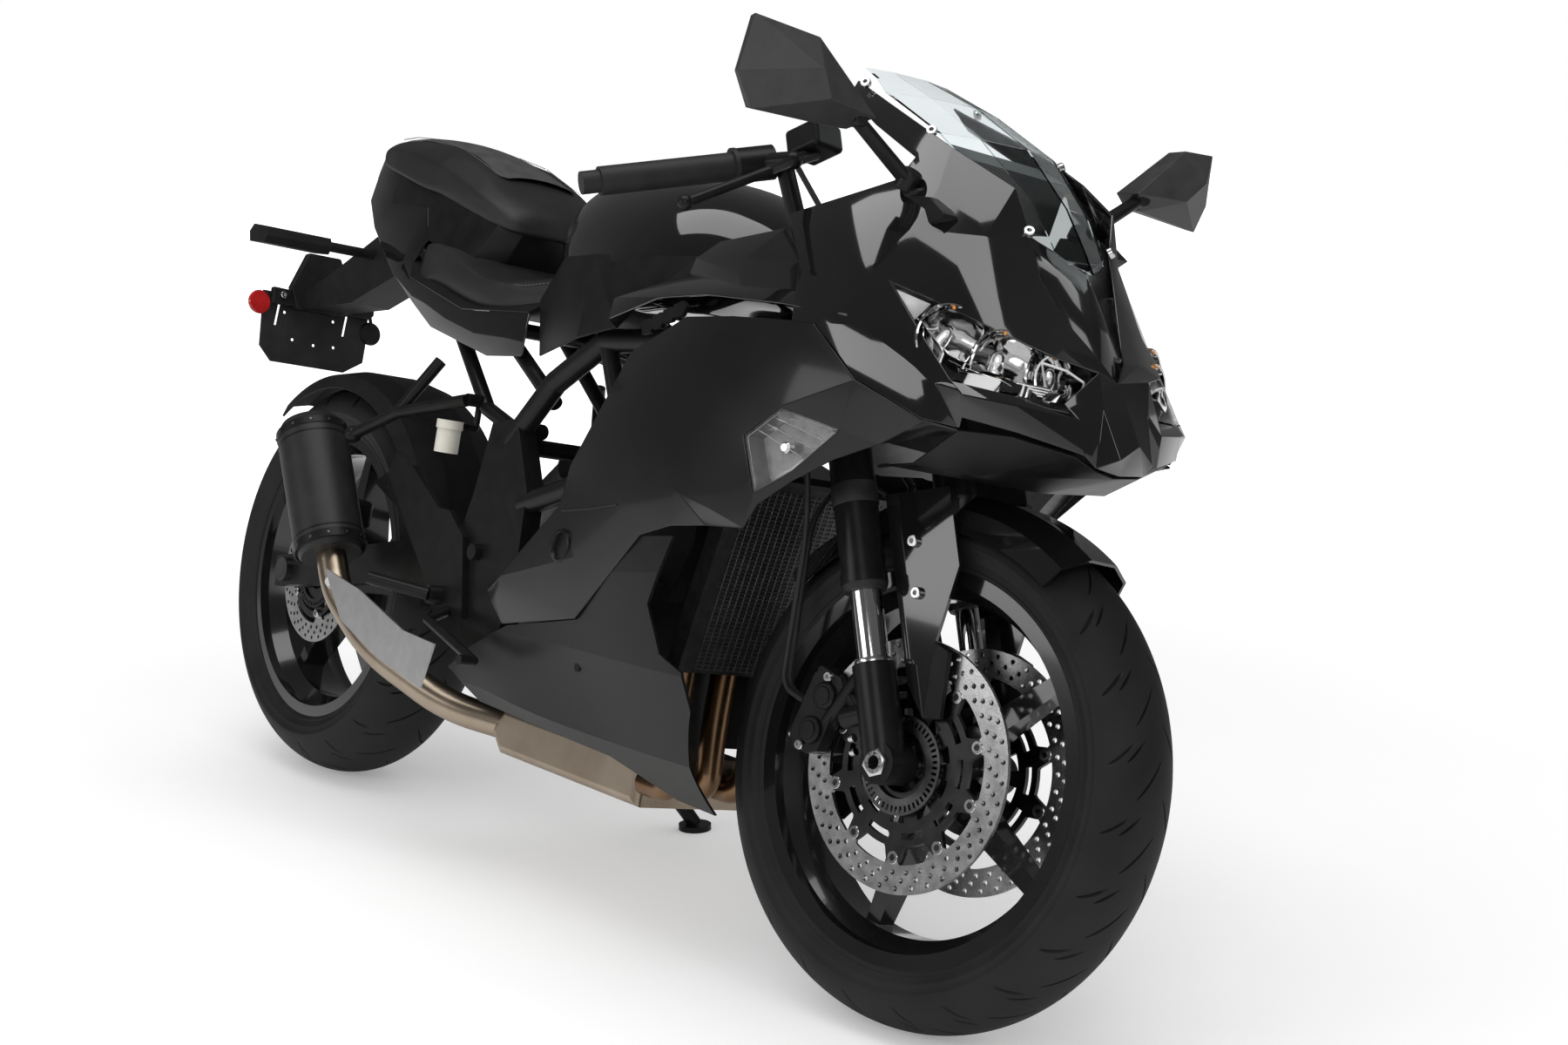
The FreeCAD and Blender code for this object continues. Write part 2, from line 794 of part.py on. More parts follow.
def steer_point(shares, side):
    """A point of the steering frame from shares of the bars' reach."""
    return Vector(shares[0], side * shares[1], shares[2]) * S.bar_reach


def handlebars():
    """Clip-on bars with grips, levers, switches and the master cylinder."""
    bars = []
    grips = []
    levers = []
    switches = []
    for side in SIDES:
        inner = steer_point(grip_inner_shares, side)
        outer = steer_point(grip_outer_shares, side)
        along = (outer - inner).normalize()
        middle = fork_place(side)
        ring_low = middle + Z_AXIS * (S.upper_clamp_bottom + S.upper_clamp_height + S.seat_gap)
        ring_high = ring_low + Z_AXIS * (S.fork_tube_top - ring_low.z - S.fork_cap_height)
        ring = rod(ring_low, ring_high, S.fork_tube_radius + S.bar_ring_wall)
        root = Vector(middle.x - S.fork_tube_radius, middle.y + side * S.bar_radius,
                      (ring_low.z + ring_high.z) / 2)
        bend = inner - along * S.switch_length * 1.3
        bar = jointed_rod([root, bend, outer - along * S.grip_radius], S.bar_radius)
        bore = rod(ring_low - Z_AXIS * S.overrun, ring_high + Z_AXIS * S.overrun,
                   S.fork_tube_radius + S.seat_gap)
        bars.append(fused([ring, bar]).cut(bore))
        grip = rod(inner, outer, S.grip_radius)
        flange = rod(inner, inner + along * S.grip_flange, S.grip_radius + S.grip_flange)
        weight = rod(outer, outer + along * S.bar_end_length, S.grip_radius * 0.8)
        core = rod(inner - along * S.overrun, outer - along * (S.grip_radius - S.seat_gap),
                   S.bar_radius + S.seat_gap)
        grips.append(fused([grip, flange, weight]).cut(core))
        switch_end = inner - along * S.seat_gap
        switch_start = switch_end - along * S.switch_length
        switch = rod(switch_start, switch_end, S.switch_radius)
        hole = rod(switch_start - along * S.overrun, switch_end + along * S.overrun,
                   S.bar_radius + S.seat_gap)
        perch = rod(switch_start + along * S.grip_radius,
                    steer_point(lever_route_shares[0], side), S.perch_radius)
        perch_end = Part.makeSphere(S.perch_radius, steer_point(lever_route_shares[0], side))
        switches.append(fused([switch, perch, perch_end]).cut(hole))
        route = [steer_point(point, side) for point in lever_route_shares]
        start = route[0] + (route[1] - route[0]).normalize() * (S.perch_radius + S.seat_gap)
        lever = jointed_rod([start] + route[1:], S.lever_radius)
        ball = Part.makeSphere(S.lever_ball_radius, route[-1])
        levers.append(fused([lever, ball]))
    shaped("handlebars", Part.makeCompound(bars), STEER)
    shaped("grips", Part.makeCompound(grips), STEER)
    shaped("levers", Part.makeCompound(levers), STEER)
    centre = steer_point(reservoir_box_shares, RIGHT)
    length = S.reservoir_length
    box = Part.makeBox(length, S.reservoir_width, S.reservoir_height,
                       centre - Vector(length, S.reservoir_width, S.reservoir_height) * 0.5)
    box = box.makeFillet(S.reservoir_round, box.Edges)
    foot = rod(centre - Z_AXIS * S.reservoir_height / 2 * 0.9,
               steer_point(lever_route_shares[0], RIGHT), S.perch_radius * 0.7)
    switches[1] = fused([switches[1], box, foot])
    shaped("bar_controls", Part.makeCompound(switches), STEER)


fender_angles = (-28, 55)
fender_plate_shares = [
    (0.058, 0.625), (0.150, 0.610), (0.150, 0.517), (0.104, 0.440), (0.088, 0.372), (0.074, 0.357),
    (0.058, 0.400),
]
fender_joint_shares = [(0.058, 0.625), (0.150, 0.610), (0.150, 0.570), (0.058, 0.592)]


def front_fender():
    """The front mudguard: a curved blade over the tyre and a side plate ahead of each fork leg."""
    inner = S.front_tyre_radius + S.fender_gap
    crown = S.front_tyre_width / 2
    wide = crown + S.fender_side_gap
    half = [(inner - crown * 0.72, wide), (inner - crown * 0.30, wide * 0.88), (inner, wide * 0.34)]
    rows = half + [(radius, -along) for radius, along in half[::-1]]
    ring = rows + inset(rows, -S.fender_wall)[::-1]
    corners = [Vector(0, along, radius) for radius, along in ring]
    face = Part.Face(Part.makePolygon(corners + corners[:1]))
    start, end = fender_angles
    face.rotate(ORIGIN, Y_AXIS, start)
    blade = face.revolve(ORIGIN, Y_AXIS, end - start)
    blade.translate(front_centre)
    pieces = [blade]
    outline = [(first * S.bar_reach, second * S.bar_reach) for first, second in fender_plate_shares]
    joint = [(first * S.bar_reach, second * S.bar_reach) for first, second in fender_joint_shares]
    near = S.fender_plate_offset
    far = near + S.fender_plate_thickness
    for side in SIDES:
        pieces.append(flat_plate(outline, Y_AXIS, side * near, side * far))
        pieces.append(flat_plate(joint, Y_AXIS, side * (wide - S.fender_wall), side * near))
    shaped("front_fender", fused(pieces), STEER)


caliper_centre_shares = (-0.072, 0.396)


def front_calipers():
    """A radial caliper each side, straddling its disc behind the fork leg."""
    bodies = []
    scale = S.bar_reach
    centre = Vector(caliper_centre_shares[0], 0, caliper_centre_shares[1]) * scale
    towards = Vector(centre.x - front_centre.x, 0, centre.z - front_centre.z)
    distance = towards.Length
    towards.normalize()
    angle = math.degrees(math.atan2(towards.x, towards.z))
    for side in SIDES:
        block = Part.makeBox(
            S.caliper_length, S.caliper_width, S.caliper_height,
            Vector(-S.caliper_length / 2, -S.caliper_width / 2, distance - S.caliper_height / 2),
        )
        block = block.makeFillet(S.caliper_round, block.Edges)
        block.rotate(ORIGIN, Y_AXIS, angle)
        block.translate(front_centre + Y_AXIS * side * S.front_disc_offset)
        gap = S.front_disc_thickness / 2 + S.caliper_gap
        slot_start = front_centre + Y_AXIS * (side * S.front_disc_offset - gap)
        slot = rod(slot_start, slot_start + Y_AXIS * 2 * gap, S.front_disc_radius + S.caliper_gap)
        block = block.cut(slot)
        bodies.append(block)
    shaped("front_calipers", Part.makeCompound(bodies), STEER)


hose_shares = [(0.075, 0.115, 0.900), (0.040, 0.145, 0.800), (0.000, 0.140, 0.700), (-0.035, 0.112, 0.610)]
cross_hose_shares = (-0.030, 0.090, 0.672)


def brake_hoses():
    """A hose from the master cylinder to the right caliper and one over the mudguard to the left."""
    centre = Vector(caliper_centre_shares[0], 0, caliper_centre_shares[1]) * S.bar_reach
    away = (centre - front_centre).normalize()
    face = centre + away * (S.caliper_height / 2 + S.seat_gap)
    lead = face + away * S.hose_lead
    knees = [steer_point(point, RIGHT) for point in hose_shares]
    perch = steer_point(lever_route_shares[0], RIGHT)
    start = perch + (knees[0] - perch).normalize() * (S.perch_radius + S.seat_gap)
    offset = Y_AXIS * RIGHT * S.hose_offset
    long_hose = bent_rod([start] + knees + [lead + offset, face + offset], S.hose_radius)
    offset = Y_AXIS * RIGHT * S.cross_hose_offset
    route = [face + offset, lead + offset]
    route += [steer_point(cross_hose_shares, side) for side in (RIGHT, LEFT)]
    route += [lead - offset, face - offset]
    cross_hose = bent_rod(route, S.hose_radius)
    shaped("brake_hoses", Part.makeCompound([long_hose, cross_hose]), STEER)


def side_stand():
    """The stand leg, its pivot boss and its flat foot, down."""
    pivot = bike_point(stand_pivot_shares, LEFT)
    foot = LEAN.inverse().multVec(
        Vector(stand_foot_shares[0] * reach, stand_foot_shares[1] * half_width, 0)
    )
    ground = LEAN.inverse().Rotation.multVec(Z_AXIS)
    heel = foot + ground * S.stand_foot_thickness
    leg = rod(pivot, heel, S.stand_radius, S.stand_radius * 0.8)
    pad = rod(foot, heel, S.stand_foot_radius)
    axis = stand_axis()
    boss = rod(pivot - axis * S.stand_boss_half, pivot + axis * S.stand_boss_half,
               S.stand_boss_radius)
    toe = rod(heel - (heel - pivot).normalize() * S.stand_foot_radius * 2,
              heel + Y_AXIS * S.stand_foot_radius * 1.5 + ground * S.stand_foot_radius,
              S.stand_radius * 0.5)
    bore = rod(pivot - axis * S.overrun * 2, pivot + axis * S.overrun * 2, S.stand_pin_radius)
    below = Part.makeBox(reach, reach, reach, Vector(-reach / 2, -reach / 2, -reach))
    below.Placement = LEAN.inverse() * below.Placement
    body = fused([leg, pad, boss]).cut(bore).cut(below)
    shaped("side_stand", body, LEAN)


def bike_point(shares, side=RIGHT):
    """A point of the bike frame from shares of its reach, half width and rise."""
    return Vector(shares[0] * reach, side * shares[1] * half_width, shares[2] * rise)


def bike_route(shares, side=RIGHT):
    return [bike_point(point, side) for point in shares]


def side_outline(shares):
    """Side-view corners from shares of the reach and the rise."""
    return [(first * reach, second * rise) for first, second in shares]


def side_prism(shares):
    """Everything inside a side-view outline, right across the bike."""
    return flat_plate(side_outline(shares), Y_AXIS, -2 * half_width, 2 * half_width)


# Side stand
stand_pivot_shares = (-0.110, 0.46, 0.215)
stand_foot_shares = (-0.060, 1.064)
stand_raised_shares = (-0.98, 0.16, -0.04)


def stand_down():
    pivot = bike_point(stand_pivot_shares, LEFT)
    foot = Vector(stand_foot_shares[0] * reach, stand_foot_shares[1] * half_width, 0)
    return (LEAN.inverse().multVec(foot) - pivot).normalize()


def stand_axis():
    return stand_down().cross(Vector(*stand_raised_shares)).normalize()


# Frame
spar_top_shares = [
    (0.420, 0.04, 0.790), (0.300, 0.52, 0.748), (0.111, 0.60, 0.732),
    (0.007, 0.60, 0.668), (-0.075, 0.60, 0.580),
]
spar_low_shares = [
    (0.485, 0.09, 0.695), (0.400, 0.26, 0.672), (0.370, 0.54, 0.650), (0.200, 0.60, 0.575),
    (-0.020, 0.60, 0.500),
]
spar_tie_shares = [(0.111, 0.60, 0.732), (0.200, 0.60, 0.575)]
spar_brace_shares = [(0.300, 0.52, 0.748), (0.370, 0.54, 0.650)]
pivot_plate_shares = [
    (-0.130, 0.500), (-0.110, 0.600), (-0.050, 0.612), (0.000, 0.520), (0.006, 0.380),
    (-0.030, 0.290), (-0.100, 0.275), (-0.118, 0.380), (-0.150, 0.440),
]
cross_tube_shares = [(-0.095, 0.575), (-0.075, 0.300)]
stand_lug_shares = (-0.090, 0.60, 0.300)


radiator_shares = [(0.370, 0.345), (0.428, 0.590)]


def radiator_top(across, lift):
    """A point above the middle of the radiator's upper edge."""
    (low_x, low_z), (high_x, high_z) = side_outline(radiator_shares)
    up = Vector(high_x - low_x, 0, high_z - low_z).normalize()
    back = Vector(-up.z, 0, up.x)
    return Vector(low_x, across, low_z) + up * (S.radiator_height + lift) + back * S.radiator_depth / 2


def frame_seams():
    """Thin walls where the head, the two flanks and the cross tubes meet."""
    head_side = bike_point(spar_low_shares[1]).y * 1.2
    flank_side = -(S.pivot_plate_offset - S.pivot_plate_thickness / 2)
    walls = []
    for start, end, across in ((0, reach, head_side), (-reach, 0, flank_side)):
        for side in SIDES:
            corner = Vector(start, side * abs(across) - S.seat_gap / 2, 0)
            walls.append(Part.makeBox(end - start, S.seat_gap, 2 * rise, corner))
    return walls


def main_frame():
    """Steering head, two tube spars a side, pivot plates, cross tubes and the stand's lug."""
    head_low = S.lower_clamp_bottom + S.lower_clamp_height + S.head_gap
    head_high = S.upper_clamp_bottom - S.head_gap
    head = rod(Z_AXIS * head_low, Z_AXIS * head_high, S.head_radius)
    head_bore = rod(Z_AXIS * head_low, Z_AXIS * head_high, S.stem_radius + S.running_gap)
    head.Placement = STRAIGHT * head.Placement
    head_bore.Placement = STRAIGHT * head_bore.Placement
    pieces = [head]
    for side in SIDES:
        pieces.append(jointed_rod(bike_route(spar_top_shares, side), S.spar_radius))
        pieces.append(jointed_rod(bike_route(spar_low_shares, side), S.spar_radius))
        pieces.append(rod(*bike_route(spar_tie_shares, side), S.brace_radius))
        pieces.append(rod(*bike_route(spar_brace_shares, side), S.brace_radius))
        near = side * (S.pivot_plate_offset - S.pivot_plate_thickness / 2)
        far = side * (S.pivot_plate_offset + S.pivot_plate_thickness / 2)
        pieces.append(flat_plate(side_outline(pivot_plate_shares), Y_AXIS, near, far))
    for along, height in cross_tube_shares:
        middle = Vector(along * reach, 0, height * rise)
        span = Y_AXIS * S.pivot_plate_offset
        pieces.append(rod(middle - span, middle + span, S.brace_radius))
    for side in SIDES:
        spar = bike_point(spar_low_shares[2], side)
        pieces.append(jointed_rod([spar, radiator_top(spar.y, S.overrun), radiator_top(spar.y, S.seat_gap)],
                                  S.peg_pin_radius))
    frame = fused(pieces)
    span = Y_AXIS * (S.pivot_plate_offset + S.overrun)
    frame = frame.cut(rod(swing_pivot - span, swing_pivot + span, S.pivot_bolt_radius + S.seat_gap))
    pivot = bike_point(stand_pivot_shares, LEFT)
    axis = stand_axis()
    cheek = S.stand_boss_half + S.running_gap
    ear = cheek + S.stand_cheek_thickness
    lug_foot = bike_point(stand_lug_shares, LEFT)
    lug = [rod(lug_foot, pivot + axis * (cheek + S.stand_cheek_thickness / 2), S.stand_boss_radius * 0.8)]
    lug.append(rod(pivot + axis * cheek, pivot + axis * ear, S.stand_boss_radius))
    pin = rod(pivot - axis * ear, pivot + axis * ear, S.stand_pin_radius - S.running_gap / 2)
    keep_out = rod(pivot - axis * cheek, pivot + axis * cheek, S.stand_boss_radius * 2)
    frame = fused([frame, fused(lug).cut(keep_out), pin]).cut(head_bore)
    shaped("main_frame", frame.cut(fused(frame_seams())), LEAN)


rail_top_shares = [(-0.035, 0.475, 0.640), (-0.200, 0.44, 0.728), (-0.330, 0.40, 0.745), (-0.560, 0.30, 0.880)]
rail_low_shares = [(-0.055, 0.475), (-0.135, 0.475), (-0.215, 0.44, 0.617), (-0.480, 0.335, 0.833)]
rail_cross_shares = [(-0.265, 0.42, 0.736), (-0.540, 0.31, 0.868)]
pot_shares = (-0.243, 0.60, 0.546)


def low_rail_route(side):
    """The lower seat rail, which starts seated on the frame's upper cross tube."""
    perch = cross_tube_shares[0][1] * rise + S.brace_radius + S.rail_radius + S.seat_gap
    route = []
    for point in rail_low_shares:
        if len(point) == 2:
            route.append(Vector(point[0] * reach, side * point[1] * half_width, perch))
        else:
            route.append(bike_point(point, side))
    return route


def place_on(route, along):
    """The point of a route at a place along the bike."""
    for first, last in zip(route, route[1:]):
        if min(first.x, last.x) <= along <= max(first.x, last.x):
            return first + (last - first) * ((along - first.x) / (last.x - first.x))
    return route[-1]


def rails(clearance):
    """The upper and lower seat rails of both sides, thickened by a clearance."""
    pieces = []
    for side in SIDES:
        pieces.append(jointed_rod(bike_route(rail_top_shares, side), S.rail_radius + clearance))
        pieces.append(jointed_rod(low_rail_route(side), S.rail_radius + clearance))
    return fused(pieces)


def subframe():
    """The seat rails with their cross tubes and the reservoir's tab."""
    pieces = [rails(0)]
    for point in rail_cross_shares:
        pieces.append(rod(bike_point(point, RIGHT), bike_point(point, LEFT), S.rail_radius))
    pot = bike_point(pot_shares)
    root = place_on(low_rail_route(RIGHT), pot.x)
    knee = Vector(root.x, root.y, pot.z + S.pot_height + S.pot_cap_height / 2)
    tip = Vector(knee.x, pot.y + S.pot_radius + S.pot_lip + S.seat_gap, knee.z)
    pieces.append(jointed_rod([root, knee, tip], S.peg_pin_radius * 0.8))
    shaped("subframe", fused(pieces), LEAN)


rear_case_shares = [(-0.045, 0.310), (0.060, 0.300), (0.060, 0.520), (-0.030, 0.500)]
front_case_shares = [(0.060, 0.262), (0.285, 0.238), (0.285, 0.440), (0.060, 0.470)]
cylinder_shares = [(0.130, 0.430), (0.285, 0.420), (0.322, 0.500), (0.322, 0.600), (0.170, 0.640)]
clutch_cover_shares = (0.105, 0.330)


def engine():
    """The engine as one plain block with its round side covers and output sprocket."""
    wide = S.engine_half_width
    narrow = S.engine_rear_half_width
    pieces = [
        flat_plate(side_outline(front_case_shares), Y_AXIS, -wide, wide),
        flat_plate(side_outline(rear_case_shares), Y_AXIS, -narrow, narrow),
        flat_plate(side_outline(cylinder_shares), Y_AXIS, -S.cylinder_half_width, S.cylinder_half_width),
    ]
    along, height = clutch_cover_shares
    middle = Vector(along * reach, 0, height * rise)
    span = Y_AXIS * (wide + S.engine_cover_depth)
    pieces.append(rod(middle - span, middle + span, S.engine_cover_radius))
    shaft = Y_AXIS * (S.chain_line + S.sprocket_thickness / 2)
    pieces.append(rod(front_sprocket, front_sprocket + shaft, S.front_sprocket_radius * 0.5))
    pieces.append(rod(front_sprocket + Y_AXIS * (S.chain_line - S.sprocket_thickness / 2),
                      front_sprocket + shaft, S.front_sprocket_radius - S.seat_gap))
    shaped("engine", fused(pieces), LEAN)


def radiator():
    """A flat radiator with side tanks, leaning forward at its top."""
    (low_x, low_z), (high_x, high_z) = side_outline(radiator_shares)
    run = Vector(high_x - low_x, 0, high_z - low_z)
    angle = math.degrees(math.atan2(run.x, run.z))
    core = primitive("Part::Box", "radiator_core", Placement(), Length="radiator_depth",
                     Width="2 * radiator_half_width", Height="radiator_height")
    core.Placement = Placement(Vector(-S.radiator_depth, -S.radiator_half_width, 0), Rotation())
    place = Placement(Vector(low_x, 0, low_z), Rotation(Y_AXIS, angle))
    tanks = []
    for side in SIDES:
        tank = primitive("Part::Box", f"radiator_tank_{len(tanks)}", Placement(),
                         Length="radiator_depth + 2 * radiator_tank_lip",
                         Width="radiator_tank_width", Height="radiator_height")
        start = S.radiator_half_width if side == LEFT else -S.radiator_half_width - S.radiator_tank_width
        tank.Placement = Placement(Vector(-S.radiator_depth - S.radiator_tank_lip, start, 0), Rotation())
        tanks.append(tank)
    whole = doc.addObject("Part::MultiFuse", "radiator")
    whole.Shapes = [core] + tanks
    node("radiator", whole, LEAN * place)


header_shares = [
    (0.3223, 0.555), (0.364, 0.555), (0.356, 0.480), (0.318, 0.400), (0.314, 0.270), (0.312, 0.184),
    (0.2503, 0.184),
]
header_offset_shares = [-0.40, -0.14, 0.14, 0.40]
chamber_shares = [(0.250, 0.150), (0.250, 0.216), (-0.080, 0.216), (-0.110, 0.180), (-0.080, 0.150)]
link_shares = [(-0.090, 0.24, 0.186), (-0.170, 0.50, 0.196), (-0.300, 0.74, 0.250)]
silencer_low_shares = (-0.432, 0.80, 0.366)
silencer_top_shares = (-0.556, 0.80, 0.545)


def link_route():
    """The link pipe's route from the chamber up to the silencer."""
    start = bike_point(silencer_low_shares)
    along = (bike_point(silencer_top_shares) - start).normalize()
    return bike_route(link_shares) + [start - along * S.link_straight, start - along * S.seat_gap]


def exhaust():
    pipes = []
    for offset in header_offset_shares:
        route = [Vector(x * reach, offset * half_width, z * rise) for x, z in header_shares]
        for point in route[-2:]:
            point.y *= 0.8
        pipes.append(bent_rod(route, S.header_radius))
    shaped("exhaust_headers", Part.makeCompound(pipes), LEAN)
    chamber = flat_plate(side_outline(chamber_shares), Y_AXIS, -S.chamber_half_width, S.chamber_half_width)
    chamber = chamber.makeFillet(S.chamber_round, [edge for edge in chamber.Edges
                                                  if abs(edge.tangentAt(edge.FirstParameter).y) < 0.5])
    start = bike_point(silencer_low_shares)
    end = bike_point(silencer_top_shares)
    link = bent_rod(link_route(), S.link_radius)
    shaped("exhaust_chamber", fused([chamber, link]), LEAN)
    outline = [
        ("0", "0"),
        ("silencer_radius - silencer_end_drop", "0"),
        ("silencer_radius", "silencer_end_length"),
        ("silencer_radius", "silencer_length - silencer_end_length"),
        ("silencer_radius - silencer_end_drop", "silencer_length"),
        ("silencer_outlet_radius", "silencer_length"),
        ("silencer_outlet_radius", "silencer_length - silencer_outlet_depth"),
        ("0", "silencer_length - silencer_outlet_depth"),
    ]
    body = turned_body("silencer", outline)
    aim = Rotation(Y_AXIS, end - start)
    node("silencer", body, LEAN * Placement(start, aim))


shield_shares = [
    (-0.399, 0.350), (-0.291, 0.335), (-0.156, 0.300), (-0.070, 0.296), (-0.089, 0.232), (-0.211, 0.251),
    (-0.330, 0.285),
]


shield_boss_shares = (-0.380, 0, 0.334)


def exhaust_shield():
    """The flat heat shield outside the link pipe, with the boss that holds it off the pipe."""
    near = bike_point(silencer_low_shares).y - S.link_radius - S.seat_gap
    plate = flat_plate(side_outline(shield_shares), Y_AXIS, near, near - S.shield_thickness)
    root = bike_point(shield_boss_shares)
    root.y = near - S.shield_thickness / 2
    whole = fused([plate, rod(root, link_route()[-2], S.shield_boss_radius)])
    whole = whole.cut(bent_rod(link_route(), S.link_radius + S.seat_gap))
    shaped("exhaust_shield", max(whole.Solids, key=lambda solid: solid.Volume), LEAN)


def swingarm():
    """Two box arms, the pivot tube and the bridge ahead of the tyre."""
    near = S.swingarm_offset - S.swingarm_thickness / 2
    far = S.swingarm_offset + S.swingarm_thickness / 2
    run = rear_axle - swing_pivot
    up = Vector(-run.z, 0, run.x).normalize()
    if up.z < 0:
        up = up * -1
    pieces = []
    for side in SIDES:
        rows = []
        for share, half in swingarm_depth_shares:
            middle = swing_pivot + run * share
            rows.append([
                middle - up * half * S.swingarm_depth + Y_AXIS * side * near,
                middle + up * half * S.swingarm_depth + Y_AXIS * side * near,
                middle + up * half * S.swingarm_depth + Y_AXIS * side * far,
                middle - up * half * S.swingarm_depth + Y_AXIS * side * far,
            ])
        pieces.append(lofted(rows, True))
    pieces.append(rod(swing_pivot - Y_AXIS * far, swing_pivot + Y_AXIS * far, S.pivot_tube_radius))
    bolt = Y_AXIS * (S.pivot_plate_offset + S.pivot_plate_thickness / 2 + S.pivot_bolt_radius)
    pieces.append(rod(swing_pivot - bolt, swing_pivot + bolt, S.pivot_bolt_radius))
    rear = rear_axle.x + S.rear_tyre_radius + S.hugger_gap + S.fender_wall + S.seat_gap
    corners = side_outline(bridge_shares) + [(rear, height * rise) for height in bridge_rear_shares]
    bridge = flat_plate(corners, Y_AXIS, -near, near)
    pieces.append(bridge)
    body = fused(pieces)
    span = Y_AXIS * (far + S.overrun)
    body = body.cut(rod(rear_axle - span, rear_axle + span, S.rear_axle_radius + S.seat_gap))
    shaped("swingarm", body, LEAN)


swingarm_depth_shares = [(-0.035, 0.42), (0.30, 0.50), (0.80, 0.40), (1.06, 0.36)]
bridge_shares = [(-0.250, 0.345), (-0.250, 0.402)]
bridge_rear_shares = [0.398, 0.330]


def rear_axle_piece():
    """The rear axle with its nuts and the spacers beside the hub."""
    inner = S.swingarm_offset - S.swingarm_thickness / 2 - S.seat_gap
    right = S.rear_disc_offset + S.rear_disc_thickness / 2 + S.running_gap
    left = S.chain_line + S.sprocket_thickness / 2 + S.running_gap
    span = Y_AXIS * S.rear_axle_half_length
    pieces = [rod(span * -1, span, S.rear_axle_radius)]
    pieces.append(rod(Y_AXIS * -right, Y_AXIS * -inner, S.rear_nut_radius))
    pieces.append(rod(Y_AXIS * left, Y_AXIS * inner, S.rear_nut_radius))
    far = S.swingarm_offset + S.swingarm_thickness / 2 + S.seat_gap
    for side in SIDES:
        start = Y_AXIS * side * far
        pieces.append(rod(start, start + Y_AXIS * side * S.rear_nut_height, S.rear_nut_radius))
    shaped("rear_axle", fused(pieces), REAR_WHEEL)


def chain():
    """The drive chain as a closed band round both sprockets."""
    half = S.chain_height / 2
    rear_pitch = S.sprocket_radius + S.running_gap + half
    front_pitch = S.front_sprocket_radius + half
    run = front_sprocket - rear_axle
    run.y = 0
    distance = run.Length
    tilt = math.asin((rear_pitch - front_pitch) / distance)
    heading = math.atan2(run.z, run.x)

    def loop(growth):
        wires = []
        back = rear_pitch + growth
        fore = front_pitch + growth
        up = heading + math.pi / 2 - tilt
        down = heading - math.pi / 2 + tilt
        level = S.chain_line - S.chain_width / 2

        def at(centre, radius, angle):
            return Vector(centre.x + radius * math.cos(angle), level, centre.z + radius * math.sin(angle))

        edges = [
            Part.makeLine(at(rear_axle, back, up), at(front_sprocket, fore, up)),
            Part.Arc(at(front_sprocket, fore, up), at(front_sprocket, fore, heading),
                     at(front_sprocket, fore, down)).toShape(),
            Part.makeLine(at(front_sprocket, fore, down), at(rear_axle, back, down)),
            Part.Arc(at(rear_axle, back, down), at(rear_axle, back, heading + math.pi),
                     at(rear_axle, back, up)).toShape(),
        ]
        return Part.Face(Part.Wire(edges))

    band = loop(half).cut(loop(-half))
    shaped("chain", band.extrude(Y_AXIS * S.chain_width), LEAN)


shock_low_share = -0.285


def shock():
    """The rear shock with its spring as one plain barrel between two eyes."""
    tube_x, tube_z = cross_tube_shares[0]
    bridge_top = bridge_shares[1][1] * rise
    low = Vector(shock_low_share * reach, 0, bridge_top + S.shock_eye_radius + S.seat_gap)
    tube = Vector(tube_x * reach, 0, tube_z * rise)
    aim = (low - tube).normalize()
    top = tube + aim * (S.brace_radius + S.shock_eye_radius + S.seat_gap)
    spring = rod(top + aim * S.shock_eye_radius * 1.5, low - aim * S.shock_eye_radius * 1.5, S.shock_radius)
    stem = rod(top, low, S.shock_eye_radius * 0.6)
    eyes = [Part.makeSphere(S.shock_eye_radius, point) for point in (top, low)]
    shaped("shock", fused([spring, stem] + eyes), LEAN)


hugger_angles = (-38, 90)


def hugger():
    """The rear mudguard close over the tyre."""
    inner = S.rear_tyre_radius + S.hugger_gap
    wide = S.rear_tyre_width / 2 + S.hugger_gap * 0.4
    rows = [
        (inner - S.hugger_drop, wide), (inner - S.hugger_drop * 0.3, wide * 0.85), (inner, wide * 0.4),
        (inner, -wide * 0.4), (inner - S.hugger_drop * 0.3, -wide * 0.85), (inner - S.hugger_drop, -wide),
    ]
    ring = rows + inset(rows, -S.fender_wall)[::-1]
    corners = [Vector(0, along, radius) for radius, along in ring]
    face = Part.Face(Part.makePolygon(corners + corners[:1]))
    start, end = hugger_angles
    face.rotate(ORIGIN, Y_AXIS, start)
    shaped("hugger", face.revolve(ORIGIN, Y_AXIS, end - start), REAR_WHEEL)


rear_caliper_shares = (-0.640, 0.418)
rear_bracket_shares = [
    (-0.715, 0.290), (-0.665, 0.290), (-0.608, 0.400), (-0.612, 0.438), (-0.668, 0.438), (-0.715, 0.334),
]


